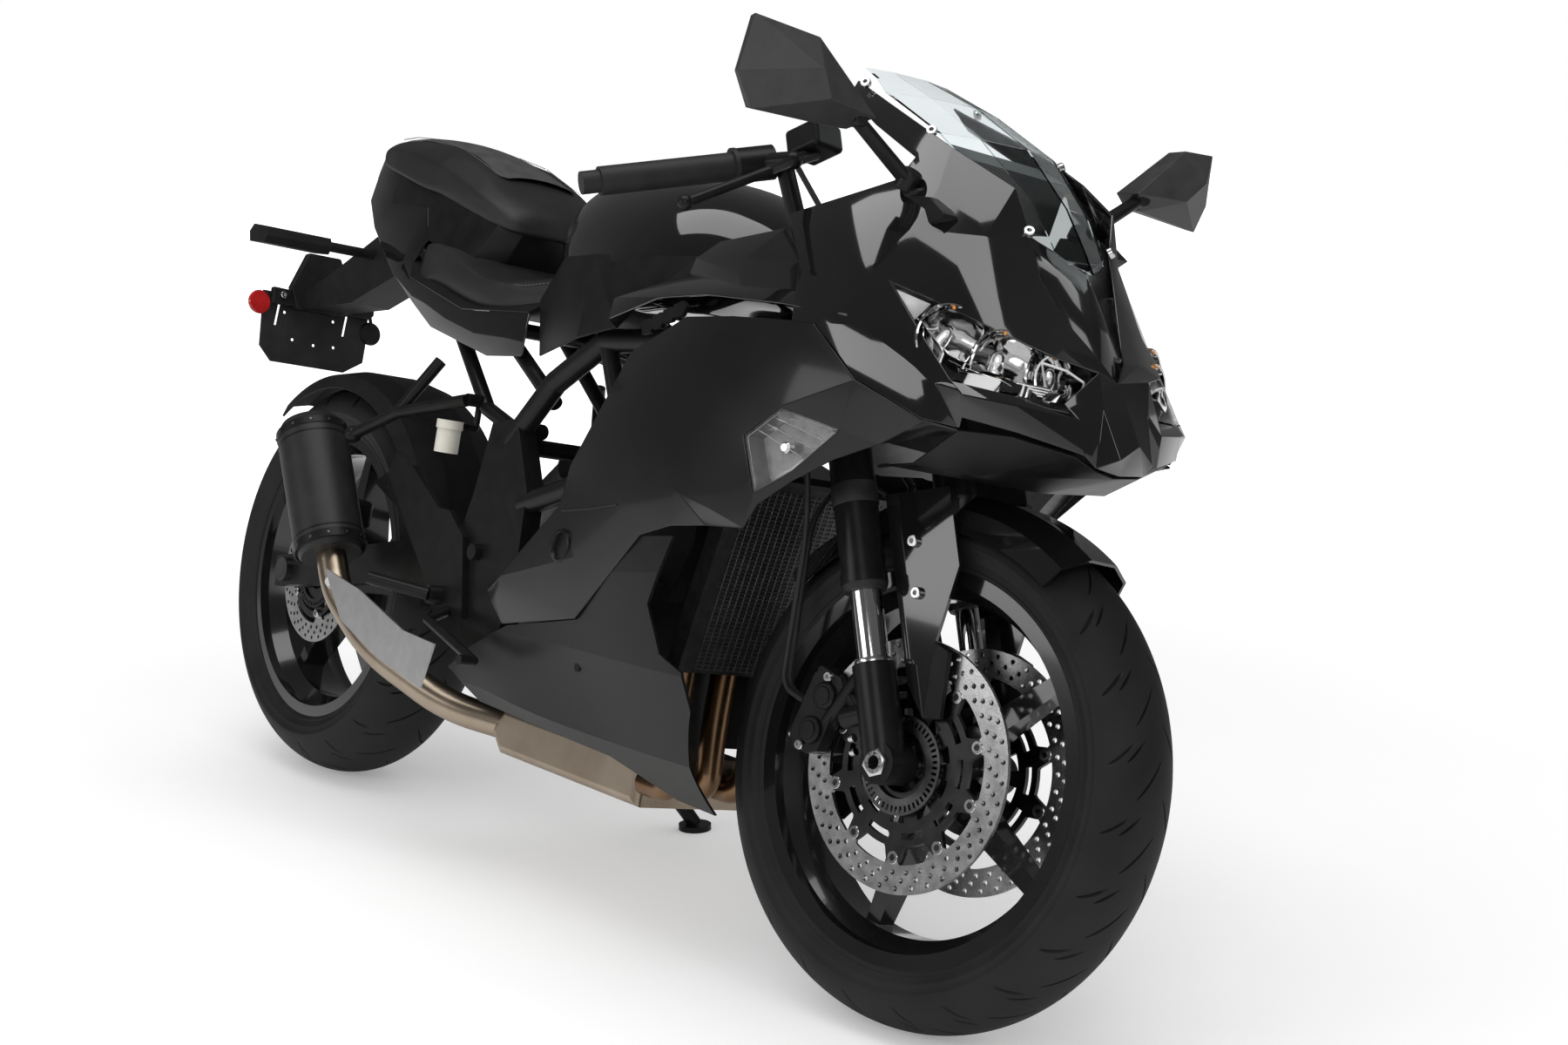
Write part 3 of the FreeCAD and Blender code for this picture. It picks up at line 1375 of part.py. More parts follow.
def rear_caliper():
    block = Part.makeBox(S.caliper_length * 0.7, S.caliper_width, S.caliper_height * 0.8)
    block.translate(Vector(-S.caliper_length * 0.35, -S.caliper_width / 2, -S.caliper_height * 0.4))
    block = block.makeFillet(S.caliper_round, block.Edges)
    middle = Vector(rear_caliper_shares[0] * reach, -S.rear_disc_offset, rear_caliper_shares[1] * rise)
    block.translate(middle)
    gap = S.rear_disc_thickness / 2 + S.caliper_gap
    slot = rod(rear_axle - Y_AXIS * (S.rear_disc_offset + gap),
               rear_axle - Y_AXIS * (S.rear_disc_offset - gap), S.rear_disc_radius + S.caliper_gap)
    far = -(S.swingarm_offset - S.swingarm_thickness / 2 - S.seat_gap)
    near = far + S.rearset_thickness
    bracket = flat_plate(side_outline(rear_bracket_shares), Y_AXIS, far, near)
    collar = rod(rear_axle + Y_AXIS * far * 2, rear_axle, S.rear_nut_radius + S.seat_gap)
    shaped("rear_caliper", fused([block.cut(slot), bracket.cut(collar)]), LEAN)


# Bodywork
tank_shares = [
    (-0.130, [(0, 0.930), (0.16, 0.922), (0.22, 0.890), (0.22, 0.860), (0.16, 0.835)]),
    (-0.095, [(0, 0.957), (0.24, 0.948), (0.40, 0.900), (0.42, 0.840), (0.36, 0.795)]),
    (0.000, [(0, 0.966), (0.34, 0.954), (0.52, 0.895), (0.56, 0.834), (0.46, 0.775)]),
    (0.110, [(0, 0.968), (0.38, 0.955), (0.59, 0.885), (0.60, 0.835), (0.50, 0.775)]),
    (0.190, [(0, 0.960), (0.36, 0.945), (0.54, 0.880), (0.57, 0.835), (0.50, 0.785)]),
    (0.255, [(0, 0.938), (0.28, 0.925), (0.37, 0.880), (0.38, 0.840), (0.36, 0.800)]),
    (0.300, [(0, 0.898), (0.20, 0.890), (0.29, 0.865), (0.31, 0.840), (0.30, 0.810)]),
]
cap_middle_shares = (0.070, 0.967)
tank_foot_shares = (0.111, 0.44, 0.810)


def body_rows(shares):
    """Half sections across the bike as full closed rows."""
    rows = []
    for station, half in shares:
        ring = [(first * half_width, second * rise) for first, second in half]
        rows.append((station * reach, symmetric_ring(ring)))
    return ring_stations(rows, X_AXIS)


def fuel_tank():
    tank = lofted(body_rows(tank_shares))
    middle = Vector(cap_middle_shares[0] * reach, 0, cap_middle_shares[1] * rise)
    well = rod(middle - Z_AXIS * S.cap_height, middle + Z_AXIS * S.cap_height,
               S.cap_radius + 2 * S.running_gap)
    feet = []
    for side in SIDES:
        spar = bike_point(spar_top_shares[2], side)
        root = bike_point(tank_foot_shares, side)
        feet.append(rod(root, spar, S.peg_pin_radius))
    tank = fused([tank.cut(well)] + feet)
    for side in SIDES:
        tank = tank.cut(jointed_rod(bike_route(spar_top_shares, side), S.spar_radius + S.seat_gap))
    tank = max(tank.Solids, key=lambda solid: solid.Volume)
    shaped("fuel_tank", tank, LEAN)
    outline = [
        ("0", "-cap_height + seat_gap"),
        ("cap_radius", "-cap_height + seat_gap"),
        ("cap_radius", "cap_rise"),
        ("cap_radius - cap_rise", "2 * cap_rise"),
        ("0", "2 * cap_rise"),
    ]
    lid = turned_body("cap_lid", outline)
    barrel = primitive(
        "Part::Cylinder", "cap_barrel",
        Placement(Vector(S.cap_radius + S.cap_hinge_reach, S.cap_hinge_lift, -S.cap_hinge_half), Rotation()),
        Radius="cap_hinge_radius", Height="2 * cap_hinge_half",
    )
    strap = primitive(
        "Part::Box", "cap_strap",
        Placement(
            Vector(S.cap_radius - 2 * S.cap_rise, S.cap_hinge_lift - S.cap_hinge_radius / 2, -S.cap_hinge_half / 2),
            Rotation(),
        ),
        Length="2 * cap_rise + cap_hinge_reach", Width="cap_hinge_radius", Height="cap_hinge_half",
    )
    cap = doc.addObject("Part::MultiFuse", "fuel_cap")
    cap.Shapes = [lid, barrel, strap]
    node("fuel_cap", cap, LEAN * Placement(middle, UPRIGHT))
    return tank


cover_shares = [
    (-0.095, [(0.47, 0.775), (0.52, 0.740), (0.53, 0.690)]),
    (0.000, [(0.61, 0.835), (0.63, 0.790), (0.64, 0.720)]),
    (0.100, [(0.64, 0.838), (0.69, 0.800), (0.70, 0.745)]),
    (0.226, [(0.63, 0.836), (0.76, 0.806), (0.79, 0.780)]),
    (0.369, [(0.66, 0.866), (0.80, 0.840), (0.85, 0.782)]),
    (0.470, [(0.76, 0.846), (0.86, 0.815), (0.88, 0.784)]),
    (0.560, [(0.84, 0.812), (0.90, 0.800), (0.90, 0.784)]),
]


cover_peg_shares = (0.111, 0.680, 0.762)


def side_skin(shares, wall):
    rows = []
    for station, points in shares:
        rows.append((station * reach, [(-first * half_width, second * rise) for first, second in points]))
    return skin(rows, X_AXIS, wall)


def side_covers():
    """The gloss panels between the tank and the side cowls."""
    right = side_skin(cover_shares, -S.panel_wall)
    peg = stub(bike_point(cover_peg_shares), bike_point(spar_top_shares[2]), S.spar_radius, S.peg_pin_radius)
    shaped("side_covers", both_sides(fused([right, peg])), LEAN)


flank_shares = [
    (-0.120, [(0.72, 0.430), (0.75, 0.390), (0.77, 0.350), (0.77, 0.310), (0.74, 0.262), (0.66, 0.232), (0.50, 0.205)]),
    (0.000, [(0.78, 0.640), (0.80, 0.560), (0.81, 0.480), (0.80, 0.420), (0.76, 0.330), (0.67, 0.245), (0.48, 0.195)]),
    (0.150, [(0.81, 0.740), (0.83, 0.640), (0.85, 0.505), (0.82, 0.430), (0.77, 0.340), (0.67, 0.238), (0.44, 0.188)]),
    (0.300, [(0.84, 0.790), (0.88, 0.680), (0.92, 0.535), (0.89, 0.450), (0.82, 0.345), (0.66, 0.238), (0.40, 0.178)]),
    (0.430, [(0.87, 0.800), (0.91, 0.690), (0.95, 0.560), (0.92, 0.470), (0.85, 0.350), (0.68, 0.242), (0.36, 0.168)]),
    (0.560, [(0.88, 0.800), (0.92, 0.700), (0.93, 0.585), (0.89, 0.500), (0.84, 0.360), (0.68, 0.252), (0.34, 0.165)]),
    (0.680, [(0.88, 0.800), (0.88, 0.720), (0.83, 0.630), (0.79, 0.540), (0.74, 0.400), (0.62, 0.300), (0.30, 0.200)]),
    (0.800, [(0.76, 0.800), (0.72, 0.730), (0.62, 0.670), (0.56, 0.600), (0.50, 0.460), (0.40, 0.360), (0.20, 0.260)]),
]
side_cowl_shares = [
    (0.249, 0.719), (0.363, 0.769), (0.463, 0.776), (0.612, 0.776), (0.683, 0.722), (0.776, 0.689),
    (0.751, 0.680), (0.694, 0.658), (0.661, 0.629), (0.632, 0.607), (0.575, 0.576), (0.548, 0.538),
    (0.492, 0.532), (0.426, 0.523), (0.365, 0.504), (0.221, 0.381), (0.045, 0.345), (-0.014, 0.379),
    (0.141, 0.515), (0.152, 0.567),
]
belly_cowl_shares = [
    (-0.106, 0.262), (-0.042, 0.302), (0.044, 0.344), (0.220, 0.380), (0.364, 0.503), (0.428, 0.512),
    (0.385, 0.425), (0.414, 0.370), (0.460, 0.356), (0.472, 0.300), (0.498, 0.223), (0.484, 0.180),
    (0.353, 0.183), (0.246, 0.214), (-0.060, 0.224),
]
lens_shares = [(0.587, 0.679), (0.533, 0.642), (0.562, 0.590), (0.655, 0.655)]
slider_hole_shares = (0.171, 0.465)
cowl_peg_shares = (0.200, 0.885, 0.575)
belly_peg_shares = (0.220, 0.770, 0.320)


def tyre_sweep():
    """What the front tyre reaches behind the steering axis from lock to lock."""
    radius = S.front_tyre_radius + S.sweep_gap
    ring = Part.Face(Part.Wire([Part.makeCircle(radius, front_centre, Y_AXIS)]))
    behind = Part.makeBox(2 * reach, reach, 2 * reach, Vector(-2 * reach, -reach / 2, -reach))
    ring = ring.common(behind)
    turn = S.steer_lock_angle + math.degrees(math.asin(S.front_tyre_width / 2 / S.bead_radius))
    ring.rotate(ORIGIN, Z_AXIS, -turn)
    sweep = ring.revolve(ORIGIN, Z_AXIS, 2 * turn)
    sweep.Placement = STRAIGHT * sweep.Placement
    return sweep


def outline_solid(shares, gap):
    """The prism of a side-view outline drawn in by a gap."""
    corners = [Vector(x, -2 * half_width, z) for x, z in side_outline(shares)]
    wire = Part.makePolygon(corners + corners[:1])
    face = Part.Face(wire.makeOffset2D(-gap, 2))
    return face.extrude(Y_AXIS * 4 * half_width)


def lower_cowls():
    """Side and belly cowls on both flanks, with the signal lens let into each side."""
    flank = side_skin(flank_shares, -S.panel_wall)
    lens_prism = side_prism(lens_shares)
    half_seam = S.seam_gap / 2
    side_cowl = flank.common(outline_solid(side_cowl_shares, half_seam))
    belly = flank.common(outline_solid(belly_cowl_shares, half_seam)).cut(tyre_sweep())
    lens = side_cowl.common(outline_solid(lens_shares, half_seam))
    hole_x, hole_z = slider_hole_shares[0] * reach, slider_hole_shares[1] * rise
    hole = rod(Vector(hole_x, -2 * half_width, hole_z), Vector(hole_x, 0, hole_z), S.slider_hole_radius)
    side_cowl = side_cowl.cut(outline_solid(lens_shares, -half_seam)).cut(hole)
    peg_root = bike_point(cowl_peg_shares)
    peg = stub(peg_root, bike_point(spar_low_shares[3]), S.spar_radius, S.peg_pin_radius)
    side_cowl = fused([side_cowl, peg])
    belly_root = bike_point(belly_peg_shares)
    belly_end = Vector(belly_root.x, -S.engine_half_width - S.seat_gap, belly_root.z)
    belly = fused([belly, rod(belly_root, belly_end, S.peg_pin_radius)])
    shaped("side_cowl_right", side_cowl, LEAN)
    shaped("side_cowl_left", mirrored(side_cowl), LEAN)
    shaped("belly_cowls", both_sides(belly), LEAN)
    shaped("signal_lenses", both_sides(lens), LEAN)


# Half plan slices of the nose and screen, from the middle outwards and back
nose_shares = [
    (0.655, [(0.925, 0), (0.905, 0.24), (0.860, 0.44), (0.800, 0.64), (0.720, 0.78), (0.650, 0.84)]),
    (0.700, [(0.922, 0), (0.900, 0.22), (0.858, 0.46), (0.800, 0.70), (0.710, 0.84), (0.630, 0.88)]),
    (0.735, [(0.888, 0), (0.862, 0.22), (0.826, 0.50), (0.785, 0.74), (0.700, 0.86), (0.600, 0.90)]),
    (0.771, [(0.872, 0), (0.858, 0.18), (0.800, 0.50), (0.740, 0.76), (0.670, 0.87), (0.560, 0.90)]),
    (0.833, [(0.835, 0), (0.815, 0.18), (0.755, 0.46), (0.688, 0.75), (0.600, 0.86), (0.520, 0.89)]),
    (0.900, [(0.786, 0), (0.774, 0.16), (0.752, 0.30), (0.700, 0.50), (0.610, 0.70), (0.495, 0.80)]),
    (0.950, [(0.745, 0), (0.732, 0.18), (0.702, 0.34), (0.672, 0.43), (0.640, 0.50), (0.585, 0.54)]),
    (1.016, [(0.668, 0), (0.650, 0.24), (0.616, 0.42), (0.590, 0.46), (0.572, 0.47), (0.540, 0.46)]),
    (1.065, [(0.570, 0), (0.550, 0.22), (0.505, 0.38), (0.492, 0.40), (0.480, 0.41), (0.462, 0.40)]),
    (1.100, [(0.470, 0), (0.460, 0.18), (0.438, 0.30), (0.430, 0.32), (0.424, 0.33), (0.415, 0.32)]),
]
upper_side_shares = [
    (0.612, 0.777), (0.683, 0.723), (0.776, 0.690), (0.803, 0.687), (0.884, 0.681), (0.906, 0.668),
    (0.960, 0.660), (0.960, 1.200), (0.380, 1.200), (0.380, 1.083), (0.430, 0.950), (0.485, 0.890),
    (0.560, 0.813),
]
screen_front_shares = [
    (0, 0.878), (0.10, 0.886), (0.24, 0.908), (0.32, 0.950), (0.39, 1.016), (0.36, 1.065), (0.30, 1.086),
    (0.24, 1.130), (-0.24, 1.130), (-0.30, 1.086), (-0.36, 1.065), (-0.39, 1.016), (-0.32, 0.950),
    (-0.24, 0.908), (-0.10, 0.886),
]
screen_top_shares = [(0.30, 1.086), (0.50, 1.086), (0.50, 1.200), (-0.50, 1.200), (-0.50, 1.086), (-0.30, 1.086)]
headlight_shares = [(0.76, 0.838), (0.76, 0.742), (0.56, 0.728), (0.24, 0.724), (0.15, 0.772)]
def full_slices(shares):
    rows = []
    for level, half in shares:
        points = [(first * reach, second * half_width) for first, second in half]
        whole = [(x, -y) for x, y in points[::-1]] + points[1:]
        rows.append((level * rise, whole))
    return rows


def front_prism(shares, gap):
    """Everything ahead of the bars inside a front-view outline, drawn in by a gap if there is one."""
    corners = [Vector(0, y * half_width, z * rise) for y, z in shares]
    wire = Part.makePolygon(corners + corners[:1])
    if gap:
        wire = wire.makeOffset2D(-gap, 2)
    return Part.Face(wire).extrude(X_AXIS * 2 * reach)


def upper_cowl():
    """The nose with its arms, the headlights let into it and the windscreen between the arms."""
    half_seam = S.seam_gap / 2
    shell = skin(full_slices(nose_shares), Z_AXIS, -S.panel_wall, True)
    shell = shell.common(outline_solid(upper_side_shares, half_seam))
    screen = shell.common(front_prism(screen_front_shares, S.seam_gap))
    shell = shell.cut(front_prism(screen_front_shares, 0))
    lamps = []
    for side in SIDES:
        outline = [(side * first, second) for first, second in headlight_shares]
        lamps.append(shell.common(front_prism(outline, S.seam_gap)))
        shell = shell.cut(front_prism(outline, 0))
    pegs = []
    for side in SIDES:
        root = bike_point(nose_peg_shares, side)
        target = bike_point(stay_bar_shares, side)
        target.y = root.y
        pegs.append(stub(root, target, S.stay_radius, S.peg_pin_radius))
    shaped("upper_cowl", fused([shell] + pegs), LEAN)
    shaped("headlights", Part.makeCompound(lamps), LEAN)
    shaped("windscreen", screen, LEAN)


nose_peg_shares = (0.766, 0.30, 0.866)
stay_bar_shares = (0.700, 0.36, 0.860)
dash_shares = [(0.590, 0.930), (0.640, 0.930), (0.655, 0.990), (0.602, 1.010)]
dash_post_share = 0.612


def stay_and_dash():
    start = STRAIGHT.multVec(Vector(S.head_radius + S.seat_gap, 0, S.stay_height))
    knee = STRAIGHT.multVec(Vector(S.stay_run, 0, S.stay_height))
    middle = bike_point(stay_bar_shares)
    middle.y = 0
    pieces = [jointed_rod([start, knee, middle], S.stay_radius)]
    foot = Vector(dash_post_share * reach, 0, knee.z)
    pieces.append(rod(foot, Vector(foot.x, 0, dash_shares[0][1] * rise - S.seat_gap), S.stay_radius * 0.8))
    pieces.append(rod(bike_point(stay_bar_shares, RIGHT), bike_point(stay_bar_shares, LEFT), S.stay_radius))
    shaped("fairing_stay", fused(pieces), LEAN)
    dash = flat_plate(side_outline(dash_shares), Y_AXIS, -S.dash_half_width, S.dash_half_width)
    shaped("dash", dash, LEAN)


liner_shares = [
    (0.905, 0.6684), (0.905, 0.661), (0.780, 0.628), (0.655, 0.632), (0.655, 0.640), (0.780, 0.642),
]


liner_plan_shares = [(0.655, 0.524), (0.790, 0.524), (0.860, 0.36), (0.905, 0.16)]


def nose_liner():
    """The floor of the nose, narrowed towards its tip."""
    plate = flat_plate(side_outline(liner_shares), Y_AXIS, -S.liner_half_width, S.liner_half_width)
    half = [(x * reach, y * half_width) for x, y in liner_plan_shares]
    corners = [Vector(x, y, 0) for x, y in half] + [Vector(x, -y, 0) for x, y in half[::-1]]
    plan = Part.Face(Part.makePolygon(corners + corners[:1]))
    shaped("nose_liner", plate.common(plan.extrude(Z_AXIS * rise)), LEAN)


mirror_face_shares = [(0.86, 1.008), (1.20, 1.077), (1.50, 1.087), (1.53, 1.023), (1.47, 0.986), (0.95, 0.990)]
mirror_back_shares = [(0.91, 1.010), (1.18, 1.062), (1.42, 1.070), (1.46, 1.024), (1.41, 1.000), (0.98, 0.998)]
mirror_depth_shares = (0.600, 0.655)
mirror_stem_shares = [(0.640, 0.564, 0.934), (0.640, 0.70, 0.962), (0.628, 1.00, 1.016)]


def mirrors():
    bodies = []
    for side in SIDES:
        rows = []
        for place, shares in zip(mirror_depth_shares, (mirror_face_shares, mirror_back_shares)):
            rows.append([Vector(place * reach, side * y * half_width, z * rise) for y, z in shares])
        shell = lofted(rows, True)
        stem = jointed_rod(bike_route(mirror_stem_shares, side), S.mirror_stem_radius)
        bodies.append(fused([shell, stem]))
    shaped("mirrors", Part.makeCompound(bodies), LEAN)


rider_seat_shares = [
    (-0.465, [(0, 0.842), (0.30, 0.838), (0.44, 0.825), (0.46, 0.795), (0.36, 0.792)]),
    (-0.400, [(0, 0.872), (0.32, 0.866), (0.46, 0.835), (0.48, 0.785), (0.36, 0.782)]),
    (-0.330, [(0, 0.845), (0.36, 0.842), (0.50, 0.820), (0.52, 0.772), (0.38, 0.768)]),
    (-0.250, [(0, 0.805), (0.38, 0.803), (0.52, 0.790), (0.52, 0.756), (0.38, 0.752)]),
    (-0.160, [(0, 0.806), (0.34, 0.806), (0.48, 0.790), (0.50, 0.752), (0.36, 0.748)]),
    (-0.095, [(0, 0.830), (0.24, 0.826), (0.36, 0.800), (0.38, 0.772), (0.30, 0.768)]),
]
pillion_seat_shares = [
    (-0.690, [(0, 1.004), (0.22, 1.000), (0.30, 0.990), (0.28, 0.972), (0.20, 0.970)]),
    (-0.610, [(0, 1.008), (0.28, 1.002), (0.38, 0.985), (0.38, 0.955), (0.28, 0.952)]),
    (-0.450, [(0, 0.990), (0.30, 0.984), (0.42, 0.960), (0.42, 0.920), (0.30, 0.916)]),
    (-0.340, [(0, 0.952), (0.30, 0.946), (0.40, 0.920), (0.40, 0.888), (0.30, 0.884)]),
    (-0.262, [(0, 0.905), (0.26, 0.900), (0.34, 0.886), (0.34, 0.872), (0.26, 0.870)]),
]


rider_foot_shares = [(-0.180, 0.44, 0.765), (-0.290, 0.41, 0.775)]
pillion_foot_shares = [(-0.500, 0.326, 0.945)]


def biggest(shape):
    return max(shape.Solids, key=lambda solid: solid.Volume)


def seat_feet(seat, shares):
    """Loose round feet between a seat and the upper rails."""
    lowered = seat.copy()
    lowered.translate(Vector(0, 0, -S.seat_gap))
    feet = []
    for side in SIDES:
        for point in shares:
            root = bike_point(point, side)
            rail = place_on(bike_route(rail_top_shares, side), root.x)
            foot = rod(Vector(root.x, rail.y, root.z), rail, S.seat_foot_radius)
            feet.append(biggest(foot.cut(seat).cut(lowered).cut(rails(S.seat_gap))))
    return feet


def seats(tank):
    moved = tank.copy()
    moved.translate(Vector(-S.seam_gap, 0, -S.seam_gap))
    rider = biggest(lofted(body_rows(rider_seat_shares)).cut(rails(S.seat_gap)).cut(tank).cut(moved))
    rider = Part.makeCompound([rider] + seat_feet(rider, rider_foot_shares))
    pillion = biggest(lofted(body_rows(pillion_seat_shares)).cut(rails(S.seat_gap)))
    pillion = Part.makeCompound([pillion] + seat_feet(pillion, pillion_foot_shares))
    shaped("rider_seat", rider, LEAN)
    shaped("pillion_seat", pillion, LEAN)
    return rider, pillion


tail_shares = [
    (-0.110, [(0.52, 0.676), (0.53, 0.705), (0.47, 0.738)]),
    (-0.213, [(0.54, 0.690), (0.55, 0.718), (0.50, 0.745)]),
    (-0.304, [(0.53, 0.724), (0.55, 0.745), (0.51, 0.760)]),
    (-0.400, [(0.50, 0.758), (0.54, 0.780), (0.50, 0.850)]),
    (-0.467, [(0.48, 0.780), (0.52, 0.830), (0.44, 0.918)]),
    (-0.580, [(0.42, 0.816), (0.46, 0.880), (0.41, 0.945)]),
    (-0.662, [(0.34, 0.905), (0.38, 0.935), (0.34, 0.960)]),
    (-0.700, [(0.26, 0.955), (0.30, 0.968), (0.28, 0.980)]),
]
tail_light_shares = [(-0.700, 0.950), (-0.668, 0.8765), (-0.642, 0.8805), (-0.640, 0.930), (-0.680, 0.962)]
undertail_shares = [
    (-0.515, 0.8566), (-0.565, 0.8566), (-0.640, 0.880), (-0.720, 0.868), (-0.900, 0.780), (-1.000, 0.745),
    (-0.995, 0.722), (-0.800, 0.745), (-0.660, 0.800), (-0.515, 0.825),
]
tail_peg_shares = [(-0.250, 0.52, 0.738), (-0.420, 0.50, 0.800)]
plate_shares = [(-0.985, 0.745), (-0.965, 0.630)]
indicator_shares = [(-0.755, 0.15, 0.825), (-0.755, 0.62, 0.825), (-0.755, 0.88, 0.825)]


def tail(rider, pillion):
    right = side_skin(tail_shares, -S.panel_wall)
    pegs = []
    for point in tail_peg_shares:
        root = bike_point(point)
        rail = place_on(bike_route(rail_top_shares), root.x)
        pegs.append(rod(root, rail, S.peg_pin_radius))
    right = fused([right] + pegs).cut(rails(S.seat_gap))
    for seat in (rider, pillion):
        moved = seat.copy()
        moved.translate(Vector(0, RIGHT * S.seam_gap, -S.seam_gap))
        right = right.cut(seat).cut(moved)
    shaped("tail_cowls", both_sides(max(right.Solids, key=lambda solid: solid.Volume)), LEAN)
    light = flat_plate(side_outline(tail_light_shares), Y_AXIS, -S.tail_light_half_width,
                       S.tail_light_half_width)
    shaped("tail_light", light, LEAN)
    under = flat_plate(side_outline(undertail_shares), Y_AXIS, -S.undertail_half_width,
                       S.undertail_half_width)
    (top_x, top_z), (low_x, low_z) = side_outline(plate_shares)
    angle = math.degrees(math.atan2(top_x - low_x, top_z - low_z))
    hang = Placement(Vector(top_x, 0, top_z), Rotation(Y_AXIS, angle))
    behind = Part.makeBox(reach, reach, reach, Vector(-reach, -reach / 2, -reach / 2))
    behind.translate(X_AXIS * (S.plate_thickness / 2 + S.seat_gap))
    behind.Placement = hang * behind.Placement
    shaped("undertail", under.cut(behind), LEAN)
    board = padded_body("number_plate", [
        ("-plate_half_width", "0"),
        ("-plate_half_width", "-plate_height + plate_corner"),
        ("-plate_half_width + plate_corner", "-plate_height"),
        ("plate_half_width - plate_corner", "-plate_height"),
        ("plate_half_width", "-plate_height + plate_corner"),
        ("plate_half_width", "0"),
    ], "plate_thickness", "YZ_Plane")
    node("number_plate", board, LEAN * hang)
    bodies = []
    for side in SIDES:
        route = bike_route(indicator_shares, side)
        route[0].y = side * (S.undertail_half_width + S.seat_gap)
        route[0].x = route[1].x
        route[0].z = route[1].z
        stalk = rod(route[0], route[1], S.indicator_stalk_radius)
        lamp = rod(route[1], route[2], S.indicator_radius, S.indicator_radius * 0.8)
        bodies.append(fused([stalk, lamp]))
    shaped("rear_indicators", Part.makeCompound(bodies), LEAN)


rearset_shares = [
    (-0.170, 0.470), (-0.125, 0.440), (-0.095, 0.330), (-0.170, 0.325), (-0.225, 0.385), (-0.353, 0.500),
    (-0.340, 0.535), (-0.290, 0.520), (-0.200, 0.470),
]
peg_shares = [(-0.160, 0.64, 0.352), (-0.165, 0.76, 0.352), (-0.212, 1.04, 0.362)]
pedal_shares = [(-0.135, 0.68, 0.336), (-0.120, 0.84, 0.322), (0.020, 0.87, 0.290), (0.020, 0.96, 0.290)]
pillion_bracket_shares = [(-0.312, 0.56, 0.673), (-0.225, 0.56, 0.624), (-0.350, 0.70, 0.590), (-0.443, 0.76, 0.546)]


def rearsets():
    sets = []
    for side in SIDES:
        near = side * (S.pivot_plate_offset + S.pivot_plate_thickness / 2 + S.seat_gap)
        plate = flat_plate(side_outline(rearset_shares), Y_AXIS, near, near + side * S.rearset_thickness)
        route = bike_route(peg_shares, side)
        bracket = rod(route[0], route[1], S.peg_bracket_radius)
        peg = rod(route[1], route[2], S.peg_radius)
        pedal = jointed_rod(bike_route(pedal_shares, side), S.pedal_radius)
        sets.append(fused([plate, bracket, peg, pedal]))
    shaped("rearsets", Part.makeCompound(sets), LEAN)
    brackets = []
    for side in SIDES:
        high, low, knee, end = bike_route(pillion_bracket_shares, side)
        stubs = []
        for bolt in (high, low):
            rail = place_on(low_rail_route(side), bolt.x)
            stubs.append(rod(Vector(bolt.x, bolt.y, rail.z), rail, S.peg_radius))
        whole = fused(stubs + [
            rod(high, knee, S.peg_radius), rod(low, knee, S.peg_radius), rod(knee, end, S.peg_radius),
            Part.makeSphere(S.peg_radius, knee), Part.makeSphere(S.peg_bracket_radius, end),
        ]).cut(rails(S.seat_gap))
        brackets.append(max(whole.Solids, key=lambda solid: solid.Volume))
    shaped("pillion_brackets", Part.makeCompound(brackets), LEAN)


def rear_reservoir():
    outline = [
        ("0", "0"),
        ("pot_radius", "0"),
        ("pot_radius", "pot_height"),
        ("pot_radius + pot_lip", "pot_height"),
        ("pot_radius + pot_lip", "pot_height + pot_cap_height"),
        ("0", "pot_height + pot_cap_height"),
    ]
    pot = turned_body("rear_reservoir", outline)
    node("rear_reservoir", pot, LEAN * Placement(bike_point(pot_shares), UPRIGHT))


def finish():
    doc.recompute()
    for item in doc.Objects:
        if "Invalid" in item.State or "Error" in item.State:
            raise RuntimeError(f"{item.Label} is in state {item.State}")
    os.makedirs("parts", exist_ok=True)
    for name, item in nodes.items():
        shape = item.Shape
        if shape.isNull() or not shape.isValid() or not shape.Solids:
            raise RuntimeError(f"{name} has no valid solid")
        shape.exportStep(f"parts/{name}.step")


spoke_count = 5

front_wheel()
rear_wheel()
fork()
clamps()
handlebars()
front_fender()
front_calipers()
brake_hoses()
side_stand()
main_frame()
subframe()
engine()
radiator()
exhaust()
exhaust_shield()
swingarm()
rear_axle_piece()
chain()
shock()
hugger()
rear_caliper()
tank_shape = fuel_tank()
side_covers()
lower_cowls()
upper_cowl()
stay_and_dash()
nose_liner()
mirrors()
rider_shape, pillion_shape = seats(tank_shape)
tail(rider_shape, pillion_shape)
rearsets()
rear_reservoir()
finish()
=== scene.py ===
"""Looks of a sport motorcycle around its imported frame."""

from math import asin, cos, pi, radians, sin

import bmesh
import bpy
from mathutils import Matrix, Quaternion, Vector


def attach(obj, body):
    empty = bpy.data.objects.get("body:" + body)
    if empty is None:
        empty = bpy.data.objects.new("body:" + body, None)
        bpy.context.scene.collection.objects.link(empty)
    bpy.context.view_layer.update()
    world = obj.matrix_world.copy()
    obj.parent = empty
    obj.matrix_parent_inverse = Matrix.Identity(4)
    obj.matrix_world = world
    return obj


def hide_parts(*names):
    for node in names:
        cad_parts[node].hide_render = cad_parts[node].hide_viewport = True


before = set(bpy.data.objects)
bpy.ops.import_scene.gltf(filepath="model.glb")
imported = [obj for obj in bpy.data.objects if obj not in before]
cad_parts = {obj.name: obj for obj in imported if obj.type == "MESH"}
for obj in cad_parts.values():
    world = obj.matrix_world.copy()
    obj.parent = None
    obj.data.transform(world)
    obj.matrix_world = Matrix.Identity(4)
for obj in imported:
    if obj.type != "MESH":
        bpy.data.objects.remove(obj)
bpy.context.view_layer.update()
MM = 0.001
RIGHT, LEFT = -1, 1
SIDES = (RIGHT, LEFT)

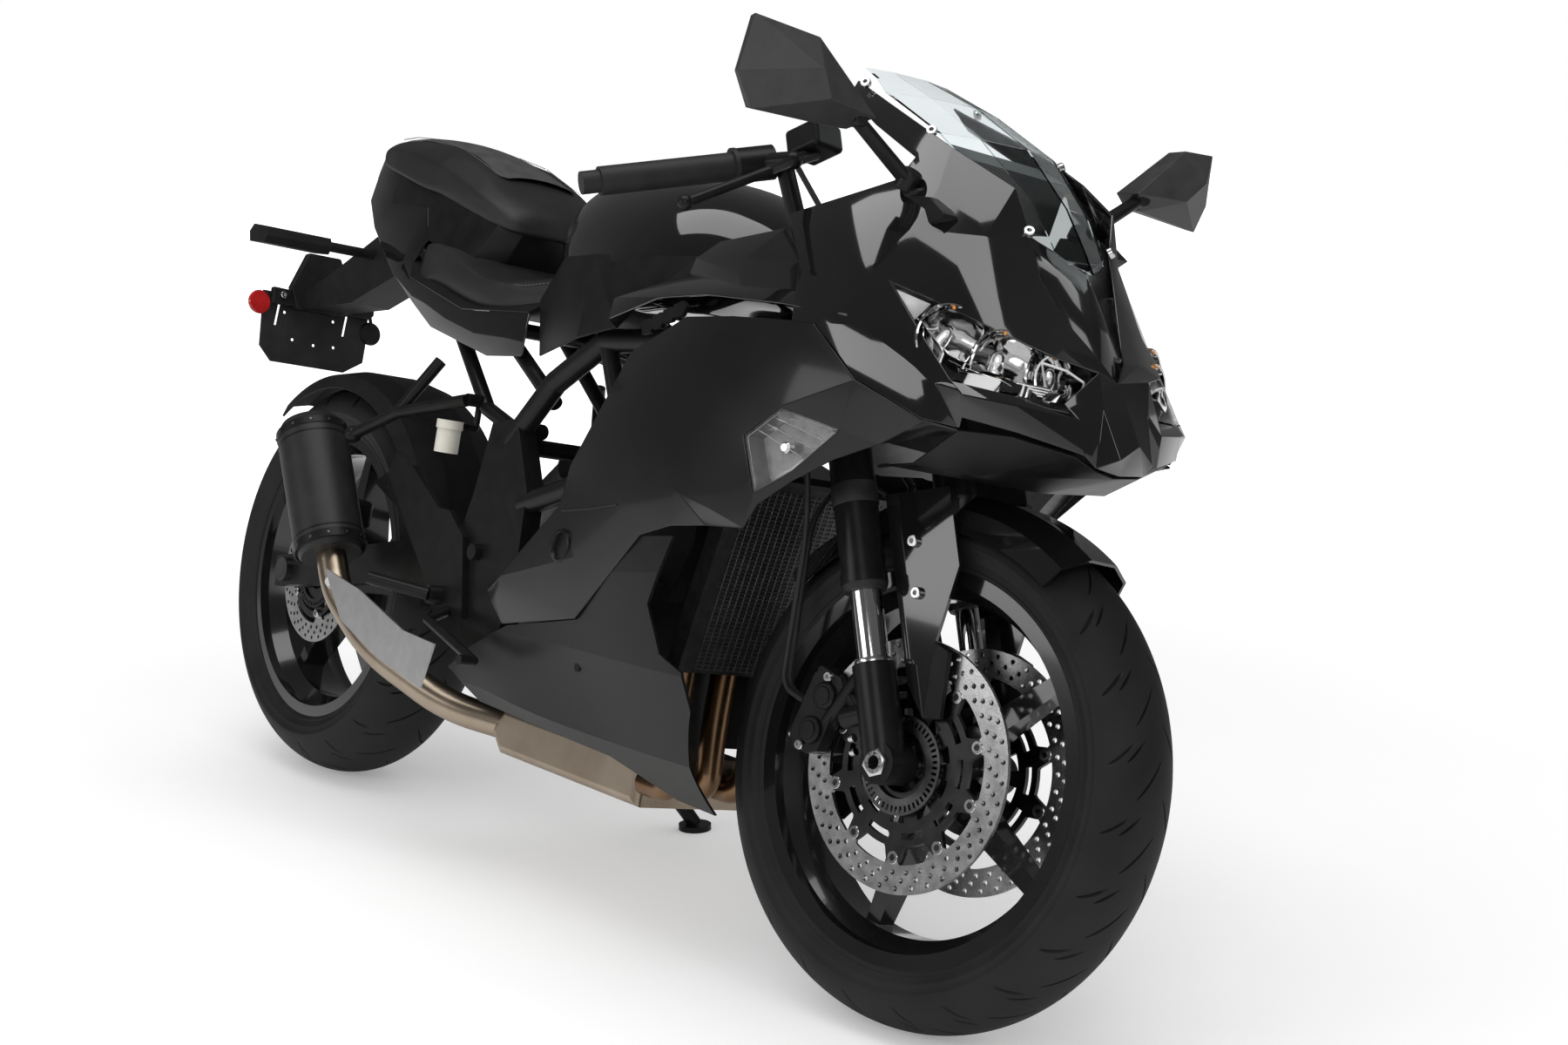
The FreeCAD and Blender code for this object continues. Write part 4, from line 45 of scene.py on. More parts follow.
# The leaning bike's frame and the steered fork's frame in the floor's frame
LEAN = Matrix.Translation((0, 0, 0.0007414)) @ Quaternion(
    (-0.9945215, 0.1045284, -0.0008834, -0.0000929)).to_matrix().to_4x4()
STEER = Matrix.Translation((0.7869988, 0, -0.0006568)) @ Quaternion(
    (0.9699982, -0.1161371, -0.1940325, 0.0892583)).to_matrix().to_4x4()
FRONT_AXLE = (30.65, 0, 313.8)
FRONT_HUB = STEER @ Matrix.Translation(Vector(FRONT_AXLE) * MM)
REAR_HUB = LEAN @ Matrix.Translation((-0.690, 0, 0.312))
PLACES = {"chassis": LEAN, "steering": STEER, "front_wheel": FRONT_HUB, "rear_wheel": REAR_HUB}

# The body's reach and half width, which turn shares into millimetres
REACH = 1000
HALF_WIDTH = 250

# The front discs' offset from the middle plane, and the thickness of all discs
DISC_PLANE = 64
DISC_WALL = 4.5

# The least radius of a turned profile, which closes it at its axis
PINPOINT = 0.01


# Materials

def set_inputs(node, **values):
    """Sets a shader node's inputs, with an underscore for each space in an input's name."""
    for key, value in values.items():
        node.inputs[key.replace("_", " ")].default_value = value


def node_of(tree, kind, **values):
    node = tree.nodes.new("ShaderNode" + kind)
    set_inputs(node, **values)
    return node


def finish_of(name, dark, light, rough, rough_span=0.06, metal=0.0, scale=40.0, bump=0.0,
              bump_scale=400.0, coat=0.0, coat_rough=0.03, specular=0.5,
              transmission=0.0, ior=1.45, kind="noise"):
    """A material whose colour, roughness and relief vary with procedural noise; a lone tone is a grey."""
    dark, light = (tone if isinstance(tone, tuple) else (tone,) * 3 for tone in (dark, light))
    material = bpy.data.materials.new(name)
    material.use_nodes = True
    tree = material.node_tree
    tree.nodes.clear()
    link = tree.links.new
    shader = node_of(tree, "BsdfPrincipled", Metallic=metal, Specular_IOR_Level=specular, Coat_Weight=coat,
                     Coat_Roughness=coat_rough, Transmission_Weight=transmission, IOR=ior)
    link(shader.outputs[0], node_of(tree, "OutputMaterial").inputs[0])
    place = node_of(tree, "TexCoord").outputs["Object"]
    spots = node_of(tree, "TexNoise", Scale=scale, Detail=6)
    link(place, spots.inputs["Vector"])
    ramp = node_of(tree, "ValToRGB")
    for stop, at, tone in zip(ramp.color_ramp.elements, (0.3, 0.7), (dark, light)):
        stop.position = at
        stop.color = (*tone, 1)
    link(spots.outputs[0], ramp.inputs[0])
    link(ramp.outputs[0], shader.inputs["Base Color"])
    spread = node_of(tree, "MapRange", To_Min=max(rough - rough_span, 0.02), To_Max=rough + rough_span)
    link(spots.outputs[0], spread.inputs["Value"])
    link(spread.outputs[0], shader.inputs["Roughness"])
    if bump:
        if kind == "voronoi":
            grain = node_of(tree, "TexVoronoi", Scale=bump_scale)
        else:
            grain = node_of(tree, "TexNoise", Scale=bump_scale, Detail=4)
        link(place, grain.inputs["Vector"])
        relief = node_of(tree, "Bump", Strength=bump, Distance=0.0006)
        link(grain.outputs[0], relief.inputs["Height"])
        link(relief.outputs[0], shader.inputs["Normal"])
    return material


# Each finish: dark tone, light tone, roughness, its span, metal, scale, relief and its scale
FINISHES = {
    "paint": (0.004, 0.008, 0.07, 0.02, 0, 6, 0.02, 18),
    "satin": (0.006, 0.01, 0.34, 0.05, 0, 40, 0.15, 900),
    "plastic": (0.008, 0.013, 0.5, 0.05, 0, 40, 0.5, 1400),
    "frame": (0.006, 0.01, 0.3, 0.05, 0, 40, 0.1, 700),
    "rubber": (0.009, 0.016, 0.62, 0.08, 0, 14, 0.25, 900),
    "grip": (0.012, 0.018, 0.55, 0.05, 0, 40, 0.3, 1200),
    "steel": (0.52, 0.66, 0.26, 0.08, 1, 60, 0.1),
    "dark_steel": (0.1, 0.16, 0.35, 0.08, 1, 50, 0.1),
    "gunmetal": (0.05, 0.07, 0.3, 0.05, 1, 50),
    "chrome": (0.72, 0.8, 0.06, 0.02, 1, 20),
    "alloy": (0.42, 0.52, 0.36, 0.06, 1, 60, 0.15),
    "bright": (0.62, 0.74, 0.2, 0.05, 1, 60),
    "engine": (0.022, 0.032, 0.42, 0.06, 0, 30, 0.3, 500),
    "fins": (0.06, 0.09, 0.4, 0.05, 0.8, 80),
    "bronze": ((0.16, 0.09, 0.045), (0.3, 0.19, 0.11), 0.3, 0.08, 1, 12),
    "titan": ((0.34, 0.27, 0.2), (0.5, 0.42, 0.33), 0.3, 0.08, 1, 9),
    "silencer": (0.014, 0.02, 0.45, 0.05, 0, 40, 0.2, 900),
    "silver": (0.62, 0.7, 0.32, 0.05, 0.9, 50),
    "chain": ((0.16, 0.14, 0.11), (0.27, 0.25, 0.2), 0.4, 0.08, 1, 90),
    "lens": (0.9, 0.95, 0.03, 0.01),
    "screen": ((0.8, 0.86, 0.87), (0.84, 0.89, 0.9), 0.03, 0.01),
    "red": ((0.35, 0.01, 0.01), (0.5, 0.02, 0.02), 0.12, 0.03),
    "amber": ((0.6, 0.2, 0.02), (0.75, 0.3, 0.04), 0.15, 0.03),
    "vinyl": (0.014, 0.02, 0.42, 0.06, 0, 20, 0.35, 1100),
    "pad": (0.05, 0.075, 0.7, 0.06, 0, 40, 0.9, 1000),
    "plate": (0.016, 0.024, 0.4, 0.05, 0, 40, 0.1),
    "pot": ((0.62, 0.6, 0.52), (0.7, 0.68, 0.6), 0.35, 0.05, 0, 30),
    "gold": ((0.5, 0.36, 0.16), (0.62, 0.46, 0.22), 0.3, 0.05, 1),
    "wheel": (0.006, 0.01, 0.16, 0.03, 0, 8),
    "mirror": (0.75, 0.8, 0.02, 0.01, 1, 4),
    "hose": (0.012, 0.018, 0.5, 0.05, 0, 40, 0.2, 1500),
    "lamp_case": (0.3, 0.42, 0.16, 0.05, 1, 60),
    "mirror_shell": (0.03, 0.042, 0.42, 0.05, 0, 40, 0.2, 900),
    "fin_bright": (0.13, 0.19, 0.4, 0.05, 0.8, 80),
    "cowl": (0.006, 0.01, 0.3, 0.03, 0, 6),
    "signal_bed": (0.24, 0.34, 0.3, 0.06, 0.6, 80),
    "thread": (0.09, 0.13, 0.7, 0.05, 0, 300),
    "white": (0.7, 0.75, 0.4, 0.03),
}
GLOSS_AND_GRAIN = {
    "paint": dict(coat=1),
    "satin": dict(specular=0.28),
    "plastic": dict(specular=0.28),
    "frame": dict(specular=0.3),
    "rubber": dict(specular=0.35),
    "lens": dict(transmission=1, ior=1.3),
    "screen": dict(transmission=1, ior=1.12),
    "red": dict(coat=0.6),
    "amber": dict(coat=0.6),
    "vinyl": dict(kind="voronoi"),
    "pad": dict(kind="voronoi"),
    "wheel": dict(coat=0.8, coat_rough=0.06),
    "cowl": dict(coat=0.35, coat_rough=0.1, specular=0.25),
}
M = {key: finish_of(key, *row, **GLOSS_AND_GRAIN.get(key, {})) for key, row in FINISHES.items()}

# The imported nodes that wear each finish
WORN_BY = {
    "rubber": "front_tyre rear_tyre",
    "wheel": "front_rim rear_rim",
    "steel": "front_discs rear_disc",
    "gunmetal": "front_disc_carriers",
    "dark_steel": "sprocket rear_axle shock",
    "frame": "fork_tubes fork_feet handlebars side_stand main_frame subframe swingarm fairing_stay",
    "chrome": "fork_sliders",
    "alloy": "front_axle fork_clamps fuel_cap",
    "grip": "grips",
    "satin": "levers bar_controls front_calipers rear_caliper side_covers belly_cowls nose_liner"
             " rearsets pillion_brackets",
    "paint": "front_fender fuel_tank side_cowl_right side_cowl_left upper_cowl tail_cowls",
    "hose": "brake_hoses",
    "engine": "engine",
    "fins": "radiator",
    "bronze": "exhaust_headers",
    "titan": "exhaust_chamber",
    "silencer": "silencer",
    "silver": "exhaust_shield",
    "chain": "chain",
    "plastic": "hugger dash mirrors undertail rear_indicators",
    "lens": "signal_lenses headlights",
    "screen": "windscreen",
    "vinyl": "rider_seat pillion_seat",
    "red": "tail_light",
    "plate": "number_plate",
    "pot": "rear_reservoir",
}
for finish, names in WORN_BY.items():
    for name in names.split():
        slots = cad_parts[name].data.materials
        slots.clear()
        slots.append(M[finish])


# Helpers: a part is a list of corners in its body's millimetres and a list of faces

def new_object(name, data):
    thing = bpy.data.objects.new(name, data)
    bpy.context.collection.objects.link(thing)
    return thing


def mesh_piece(name, corners, faces, finish, bend=30, replaces=(), body="chassis"):
    """A mesh piece that rides a body, its corners given in that body's millimetres."""
    mesh = bpy.data.meshes.new(name)
    mesh.from_pydata([tuple(c * MM for c in corner) for corner in corners], [], faces)
    build = bmesh.new()
    build.from_mesh(mesh)
    bmesh.ops.remove_doubles(build, verts=build.verts, dist=1e-6)
    bmesh.ops.recalc_face_normals(build, faces=build.faces)
    build.to_mesh(mesh)
    build.free()
    thing = new_object(name, mesh)
    thing.matrix_world = PLACES[body]
    mesh.materials.append(M[finish])
    mesh.shade_smooth()
    mesh.set_sharp_from_angle(angle=radians(bend))
    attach(thing, body)
    if replaces:
        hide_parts(*replaces)
    return thing


def bevelled(thing, width, segments=2, limit=25):
    bevel = thing.modifiers.new("edges", "BEVEL")
    bevel.width = width * MM
    bevel.segments = segments
    bevel.limit_method = "ANGLE"
    bevel.angle_limit = radians(limit)
    bevel.harden_normals = False
    return thing


def thickened(thing, wall):
    """Gives a skin its wall, which goes outward where it is negative."""
    shell = thing.modifiers.new("wall", "SOLIDIFY")
    shell.thickness = abs(wall) * MM
    shell.offset = -1 if wall > 0 else 1
    return thing


def joined(parts, name, finish, bend=30, replaces=(), body="chassis"):
    """One piece from several lists of corners and faces."""
    corners, faces = [], []
    for part_corners, part_faces in parts:
        base = len(corners)
        corners += list(part_corners)
        faces += [tuple(base + index for index in face) for face in part_faces]
    return mesh_piece(name, corners, faces, finish, bend, replaces, body)


def lathe(profile, steps=64, centre=(0, 0, 0), axis="y", side=1):
    """Corners and faces of a profile of (along, radius) turned about the Y or Z axis."""
    corners, faces = [], []
    rows = len(profile)
    for step in range(steps):
        angle = 2 * pi * step / steps
        first, second = cos(angle), sin(angle)
        for along, radius in profile:
            point = (radius * first, radius * second, along * side)
            if axis == "y":
                point = (point[0], point[2], point[1])
            corners.append(tuple(c + o for c, o in zip(point, centre)))
    for step in range(steps):
        here, after = step * rows, (step + 1) % steps * rows
        for row in range(rows - 1):
            faces.append((here + row, here + row + 1, after + row + 1, after + row))
    return corners, faces


def band(count, low, high):
    """Quads between two closed rows of corners."""
    return [(low + k, low + (k + 1) % count, high + (k + 1) % count, high + k) for k in range(count)]


def aimed(part, start, end):
    """A part made along Z from the origin, laid from one point towards another."""
    turn = (Vector(end) - Vector(start)).to_track_quat("Z", "Y")
    return [tuple(turn @ Vector(corner) + Vector(start)) for corner in part[0]], part[1]


def rod(start, end, radius, chamfer=0.6, steps=24):
    """A round rod with chamfered ends."""
    length = (Vector(end) - Vector(start)).length
    chamfer = min(chamfer, radius * 0.4, length * 0.4)
    profile = [(0, PINPOINT), (0, radius - chamfer), (chamfer, radius), (length - chamfer, radius),
               (length, radius - chamfer), (length, PINPOINT)]
    return aimed(lathe(profile, steps, axis="z"), start, end)


def bolt(start, outward, radius, height, steps=24):
    """A socket-head bolt: a chamfered head with a sunk hexagon."""
    outward = Vector(outward).normalized()
    head = [(0, PINPOINT), (0, radius), (height * 0.8, radius), (height, radius * 0.86),
            (height, radius * 0.55)]
    corners, faces = lathe(head, steps, axis="z")
    base = len(corners)
    for level in (height, height - height * 0.6):
        corners += [(x, y, level) for x, y in ring_points(radius * 0.5, 6)]
    faces += band(6, base, base + 6)
    faces.append(tuple(base + 6 + k for k in range(6)))
    rim = range(len(head) - 1, steps * len(head), len(head))
    for k in range(6):
        ring = [rim[(k * steps // 6 + j) % steps] for j in range(steps // 6 + 1)]
        faces.append(tuple(ring) + (base + (k + 1) % 6, base + k))
    return aimed((corners, faces), start, Vector(start) + outward)


def plate(outline, holes, low, high):
    """A flat plate in the XZ plane with holes, between two offsets along Y."""
    curve = bpy.data.curves.new("cut", "CURVE")
    curve.dimensions = "2D"
    curve.fill_mode = "BOTH"
    for loop in [outline] + holes:
        spline = curve.splines.new("POLY")
        spline.points.add(len(loop) - 1)
        for point, (x, z) in zip(spline.points, loop):
            point.co = (x, z, 0, 1)
        spline.use_cyclic_u = True
    curve.extrude = 0.5
    thing = new_object("cut", curve)
    bpy.context.view_layer.update()
    mesh = bpy.data.meshes.new_from_object(thing.evaluated_get(bpy.context.evaluated_depsgraph_get()))
    corners = [(v.co.x, low + (v.co.z + 0.5) * (high - low), v.co.y) for v in mesh.vertices]
    faces = [tuple(face.vertices) for face in mesh.polygons]
    bpy.data.objects.remove(thing)
    bpy.data.curves.remove(curve)
    bpy.data.meshes.remove(mesh)
    return corners, faces


def flank(point, side):
    """A point of the right flank, or its mirror image on the left."""
    return Vector((point[0], -side * point[1], point[2]))


def ring_points(radius, steps, centre=(0, 0)):
    return [(centre[0] + radius * cos(2 * pi * k / steps),
             centre[1] + radius * sin(2 * pi * k / steps)) for k in range(steps)]


def slot_points(radius, angle, half_angle, half_width, steps=6):
    """A slot bent along a circle, with flat ends."""
    outer = [(radius + half_width, angle - half_angle + 2 * half_angle * k / steps) for k in range(steps + 1)]
    inner = [(radius - half_width, angle + half_angle - 2 * half_angle * k / steps) for k in range(steps + 1)]
    return [(r * cos(a), r * sin(a)) for r, a in outer + inner]


def prism(outline, low, high):
    """A prism of a side-view outline between two offsets along Y."""
    corners = [(x, level, z) for level in (low, high) for x, z in outline]
    count = len(outline)
    faces = [tuple(range(count)), tuple(range(2 * count - 1, count - 1, -1))]
    return corners, faces + band(count, 0, count)


# Tyres with cut tread

# Down the tyre's wall: share of the drop, way out and raised moulding
WALL_SHARES = [
    (0.10, 0.6, 0), (0.14, 0.5, 0.9), (0.20, 0.1, 0.9), (0.24, -0.2, 0), (0.42, -1.6, 0), (0.46, -2.0, 0.5),
    (0.50, -2.6, 0.5), (0.53, -3.2, 0), (0.70, -6.0, 0), (0.74, -6.6, 1.6), (0.82, -7.8, 1.8),
    (0.88, -9.2, 0.4), (1.0, -12.6, 0),
]


def tyre_rows(outer, width, crown, bead, rim_half):
    """Rows of (distance across, along the axle, radius) from bead to bead over the crown, then inside."""
    half = width / 2
    turn = asin(half / crown)
    angles = [turn * k / 30 for k in range(-30, 31)]
    tread = [(crown * a, crown * sin(a), outer - crown * (1 - cos(a))) for a in angles]
    side_top = tread[-1][2]
    drop = side_top - bead - 6
    side = [(half + out * (half - rim_half) / 13 + lift, side_top - drop * share)
            for share, out, lift in WALL_SHARES]
    inner = [(rim_half - 2, bead + 1), (rim_half - 9, bead + 1), (half - 13, side_top - drop * 0.5),
             (half - 16, side_top + 4), (half * 0.5, outer - 16)]
    right = [(None, -along, radius) for along, radius in side[::-1]]
    left = [(None, along, radius) for along, radius in side]
    inside = [(None, along, radius) for along, radius in inner]
    inside += [(None, -along, radius) for along, radius in inner[::-1]]
    return right + tread + left + inside


def tyre(node, outer, width, crown, bead, rim_half, repeats, marks, reach):
    """A tyre whose tread slashes follow its own slanted columns."""
    rows = tyre_rows(outer, width, crown, bead, rim_half)
    pitch = 2 * pi * outer / repeats
    columns, slots = [], []
    for at, low, high, half_wide in marks:
        for shift, side in ((0.0, 1), (0.5, -1)):
            slots.append(((at + shift) % 1.0, low, high, half_wide, side))
    slots.sort()
    for order, (at, low, high, half_wide, side) in enumerate(slots):
        for edge, sunk in ((-1, 0), (-1, 1), (1, 1), (1, 0)):
            columns.append((at, low, high, half_wide, side, edge, sunk))
        after = slots[(order + 1) % len(slots)][0] + (1 if order + 1 == len(slots) else 0)
        columns.append(((at + after) / 2, 0, 0, 0, 0, 0, 0))
    corners, faces = [], []
    for repeat in range(repeats):
        for at, low, high, half_wide, side, edge, sunk in columns:
            for across, along, radius in rows:
                share = reach if across is None else min(abs(across), reach)
                depth, wide = 0.0, 0.15
                if across is not None and across * side > 0 and low < share < high:
                    swell = sin(pi * ((share - low) / (high - low))) ** 0.45
                    wide = max(half_wide * swell, 0.15)
                    depth = 4.2 * min(1.0, swell * 1.2) * sunk
                lead = 1.75 * share - 0.0085 * share * share
                place_at = at * pitch + edge * (wide + (0 if sunk else 0.7)) + lead
                angle = (repeat * pitch + place_at) / outer
                real = radius - depth
                corners.append((real * cos(angle), along, -real * sin(angle)))
    count = len(rows)
    total = repeats * len(columns)
    for column in range(total):
        faces += band(count, column * count, (column + 1) % total * count)
    mesh_piece(node + "_tread", corners, faces, "rubber", 40, (node,), node.replace("tyre", "wheel"))


front_marks = [(0.02, 4, 34, 2.0), (0.36, 27, 46, 2.1), (0.20, 40, 66, 2.2)]
tyre("front_tyre", 300, 120, 66, 217, 47, 23, front_marks, 75)
rear_marks = [(0.02, 6, 48, 2.4), (0.34, 38, 66, 2.5), (0.18, 62, 90, 2.5)]
tyre("rear_tyre", 312, 160, 90, 217, 62, 19, rear_marks, 98)


# Brake discs: the front pair with carriers, buttons and speed ring, then the rear one

def lobed_points(radius, swell, lobes, start, ramp, steps):
    """A circle with a flat-topped lobe, or a dent if the swell is negative, at each button."""
    points = []
    for k in range(steps):
        angle = 2 * pi * k / steps
        near = abs((angle * lobes / (2 * pi)) % 1.0 - 0.5) * 2
        here = radius + swell * max(0.0, min(1.0, (near - start) / ramp))
        points.append((here * cos(angle), here * sin(angle)))
    return points


def drilled_disc(outer, inner, lobe_radius, lobes, rows, hole, offset):
    holes = [lobed_points(inner, lobe_radius - inner, lobes, 0.72, 0.16, 200)]
    for index, (radius, count) in enumerate(rows):
        for k in range(count):
            angle = 2 * pi * (k + index * 0.36) / count
            spot = (radius * cos(angle), radius * sin(angle))
            holes.append(ring_points(hole, 12, spot))
    return plate(ring_points(outer, 160), holes, offset - DISC_WALL / 2, offset + DISC_WALL / 2)


DISC_ROWS = [(138, 38), (129, 38), (120, 38)]
for side in SIDES:
    tag = "right" if side == RIGHT else "left"
    disc = drilled_disc(145, 112, 101, 10, DISC_ROWS, 3.1, side * DISC_PLANE)
    joined([disc], f"front_disc_{tag}", "steel", 30, ("front_discs",) if side == RIGHT else (), "front_wheel")
    outline = lobed_points(92, 16, 10, 0.55, 0.2, 240)
    holes = [ring_points(31, 48)]
    for k in range(10):
        holes.append(slot_points(80, radians(36 * k + 18), 0.2, 4))
        holes.append(slot_points(58, radians(36 * k), 0.16, 7))
    carrier = plate(outline, holes, side * 61, side * 67)
    lip = lathe([(52, 31), (52, 40), (70, 40), (71, 38), (71, 31)], side=side)
    joined([carrier, lip], f"front_carrier_{tag}", "gunmetal", 30,
           ("front_disc_carriers",) if side == RIGHT else (), "front_wheel")
    buttons = []
    profile = [(-5, 3), (-5, 7.6), (4.2, 7.6), (5, 7), (5, 4), (2.5, 3.4), (2.5, PINPOINT)]
    for x, z in ring_points(104, 10):
        buttons.append(lathe([(DISC_PLANE + a * 0.7, r) for a, r in profile], 24, (x, 0, z), side=side))
    joined(buttons, f"disc_buttons_{tag}", "bright", body="front_wheel")
ring_holes = [ring_points(38, 48)] + [slot_points(50, 2 * pi * k / 48, 0.03, 3.6, 1) for k in range(48)]
speed_ring = plate(ring_points(57, 96), ring_holes, -75, -73)
joined([speed_ring], "speed_ring", "dark_steel", body="front_wheel")
REAR_ROWS = [(103, 30), (95, 30), (87, 30)]
rear_disc = drilled_disc(110, 80, 66, 5, REAR_ROWS, 3.0, -74)
joined([rear_disc], "rear_disc_drilled", "steel", 30, ("rear_disc",), "rear_wheel")
rear_center = plate(ring_points(72, 60), [ring_points(26, 32)] + [
    slot_points(54, radians(72 * k + 36), 0.42, 8) for k in range(5)], -77, -71)
rear_ring = [ring_points(42, 40)] + [slot_points(50, 2 * pi * k / 44, 0.03, 3, 1) for k in range(44)]
joined([rear_center, plate(ring_points(56, 88), rear_ring, -80, -78.5)], "rear_disc_centre", "gunmetal",
       body="rear_wheel")
rear_bolts = [bolt((x, -76, z), (0, -1, 0), 6.5, 6) for x, z in ring_points(66, 5)]
joined(rear_bolts, "rear_disc_bolts", "bright", body="rear_wheel")


# The nose's right half in the bike's frame: faceted shell, chin and black V panel

NOSE = dict(
    t0=(441, -80, 1083), t1=(530, -100, 1050), t2=(616, -110, 1016), t3=(656, -108, 998),
    t4=(739, -80, 959), t5=(759, -65, 911), tip=(792, 0, 880), h0=(452, -100, 1060), h1=(530, -118, 1022),
    e=(617, -125, 983), d=(616, -145, 954), m0=(675, -135, 945), n0=(735, -108, 900), c0=(597, -165, 940),
    c1=(675, -165, 896), c2=(733, -140, 866), c3=(788, -105, 827), c4=(833, -60, 790), p=(864, 0, 763),
    v1=(782, -60, 863), v2=(815, -42, 820), v3=(850, -20, 786), a=(508, -205, 900), w1=(660, -200, 847),
    u0=(685, -190, 833), u1=(751, -165, 815), u2=(803, -125, 795), u3=(846, -85, 779), u4=(872, -40, 771),
    o1=(742, -188, 784), l1=(800, -185, 735), l2=(833, -140, 731), l3=(857, -70, 731), q0=(553, -215, 846),
    q1=(625, -216, 810), q2=(674, -213, 782), q3=(742, -203, 752), q4=(783, -190, 729), r0=(569, -225, 777),
    r1=(612, -225, 776), r2=(683, -215, 722), r3=(776, -195, 690), r4=(808, -170, 687), k1=(815, -180, 722),
    k2=(850, -132, 720), k3=(880, -66, 716), s1=(812, -172, 698), s2=(852, -128, 692), s3=(888, -58, 680),
    x1=(882, -36, 735), x2=(880, 0, 744), x3=(911, 0, 699), x4=(911, -25, 681), x5=(889, -38, 668),
    x6=(889, 0, 664),
)
SHELL_FACES = [
    "t0 t1 h1 h0", "t1 t2 e h1", "t2 t3 m0 e", "e m0 c1 d", "d c1 c0", "t3 t4 n0 m0", "m0 n0 c2 c1",
    "t4 t5 n0", "n0 t5 v1 c3", "n0 c3 c2", "c3 v1 v2 c4", "c4 v2 v3", "c4 v3 p", "a c0 c1 w1", "w1 c1 u0",
    "c1 c2 u1 u0", "c2 c3 u2 u1", "c3 c4 u3 u2", "c4 p u4 u3", "a w1 q1 q0", "w1 u0 o1 q2", "w1 q2 q1",
    "o1 l1 q4 q3", "o1 q3 q2", "q0 q1 r1 r0", "q1 q2 r2 r1", "q2 q3 r3 r2", "q3 q4 r4 r3", "q4 l1 k1",
    "q4 k1 s1 r4", "l1 l2 k2 k1", "k1 k2 s2 s1", "l2 l3 k3 k2", "k2 k3 s3 s2", "l3 u4 x1 k3", "u4 p x2 x1",
    "k3 x1 x5 s3", "x1 x2 x3 x4", "x1 x4 x5", "x4 x3 x6 x5",
]


def named_mesh(points, faces):
    """Corners and faces of both flanks from named points of the right one."""
    names = list(points)
    corners = [points[name] for name in names]
    corners += [(x, -y, z) for x, y, z in corners]
    loops = []
    for face in faces:
        loop = [names.index(name) for name in face.split()]
        loops += [loop, [len(names) + place for place in loop[::-1]]]
    used = sorted({place for loop in loops for place in loop})
    return [corners[old] for old in used], [tuple(used.index(place) for place in loop) for loop in loops]


def shifted(points, names, step):
    """Some of the named points, each moved by one step."""
    return {name: tuple(Vector(points[name]) + Vector(step)) for name in names.split()}


def panel(points, faces, name, finish, bend, wall, bevel=None, replaces=()):
    """A walled skin on both flanks from named points, with its folds and rims rounded."""
    skin = thickened(joined([named_mesh(points, faces)], name, finish, bend, replaces), wall)
    if bevel:
        bevelled(skin, *bevel)


panel(NOSE, SHELL_FACES, "nose_shell", "paint", 32, 3, (1.6, 3, 20), ("upper_cowl",))
V_FACES = ["tip t5 v1", "tip v1 v2", "tip v2 v3", "tip v3 p"]
v_points = shifted(NOSE, "tip t5 v1 v2 v3 p", (-3, 0, -1))
panel(v_points, V_FACES, "nose_v_panel", "wheel", 20, 3)


# Headlights

LENS_FACES = ["u0 u1 o1", "u1 u2 l1 o1", "u2 u3 l2 l1", "u3 u4 l3 l2"]
LAMP_RIM = "u0 u1 u2 u3 u4 l3 l2 l1 o1".split()
lens_points = shifted(NOSE, "u0 u1 u2 u3 u4 o1 l1 l2 l3", (-1.5, 0, 0))
panel(lens_points, LENS_FACES, "headlight_lenses", "lens", 45, 2, replaces=("headlights",))
housing = []
middle = sum((Vector(NOSE[name]) for name in LAMP_RIM), Vector()) / len(LAMP_RIM)
for side in SIDES:
    corners = []
    for depth, shrink in ((2.5, 1.0), (26, 0.93), (52, 0.80)):
        for name in LAMP_RIM:
            corner = middle + (Vector(NOSE[name]) - middle) * shrink - Vector((depth, -depth * 0.35, 0))
            corners.append(flank(corner, side))
    count = len(LAMP_RIM)
    faces = band(count, 0, count) + band(count, count, 2 * count)
    faces.append(tuple(2 * count + k for k in range(count)))
    housing.append((corners, faces))
joined(housing, "headlight_housings", "lamp_case", 25)
# Each bowl: its rim's middle, radius and how far it looks outward
LAMPS = [(757, -160, 780, 36, 0.30), (801, -121, 764, 33, 0.22), (837, -78, 756, 20, 0.12)]
bowls, bulbs, rims, painted_glints = [], [], [], []
for side in SIDES:
    for x, y, z, radius, out in LAMPS:
        start = flank((x, y, z), side)
        aim = Vector((1, side * out, -0.02)).normalized()
        bowl = [(-34, 6), (-30, 12), (-24, 18), (-15, radius * 0.78), (-6, radius * 0.93), (0, radius)]
        ring = [(a, radius + r) for a, r in ((-2, -0.5), (-2, 2.5), (1.5, 2.5), (2.5, 1), (1.5, -0.5))]
        bulb = [(-30, 5), (-16, 5.5), (-12, 7.5), (-5, 7.5), (-1, 5), (0, PINPOINT)]
        for parts, profile, steps in ((bowls, bowl, 32), (rims, ring, 32), (bulbs, bulb, 20)):
            parts.append(aimed(lathe(profile, steps, axis="z"), start, start + aim))
        # A small amber rod over each bowl's rim is a painted glint, not a part of the lamp
        high = start + Vector((2, 0, radius * 0.92))
        painted_glints.append(rod(high, high + Vector((3, side * 2, 1)), 2, 0.5, 12))
for parts, name in ((bowls, "headlight_bowls"), (rims, "headlight_rims"), (bulbs, "headlight_bulbs")):
    joined(parts, name, "chrome", 50)
joined(painted_glints, "headlight_painted_glints", "amber", 50)
names = "u0 u1 o1"
middle = sum((Vector(NOSE[name]) for name in names.split()), Vector()) / 3
marker = {name: tuple(middle + (Vector(NOSE[name]) - middle) * 0.62 - Vector((7, 0, 0)))
          for name in names.split()}
panel(marker, [names], "headlight_markers", "white", 40, 2)
hexagons, trays = [], []
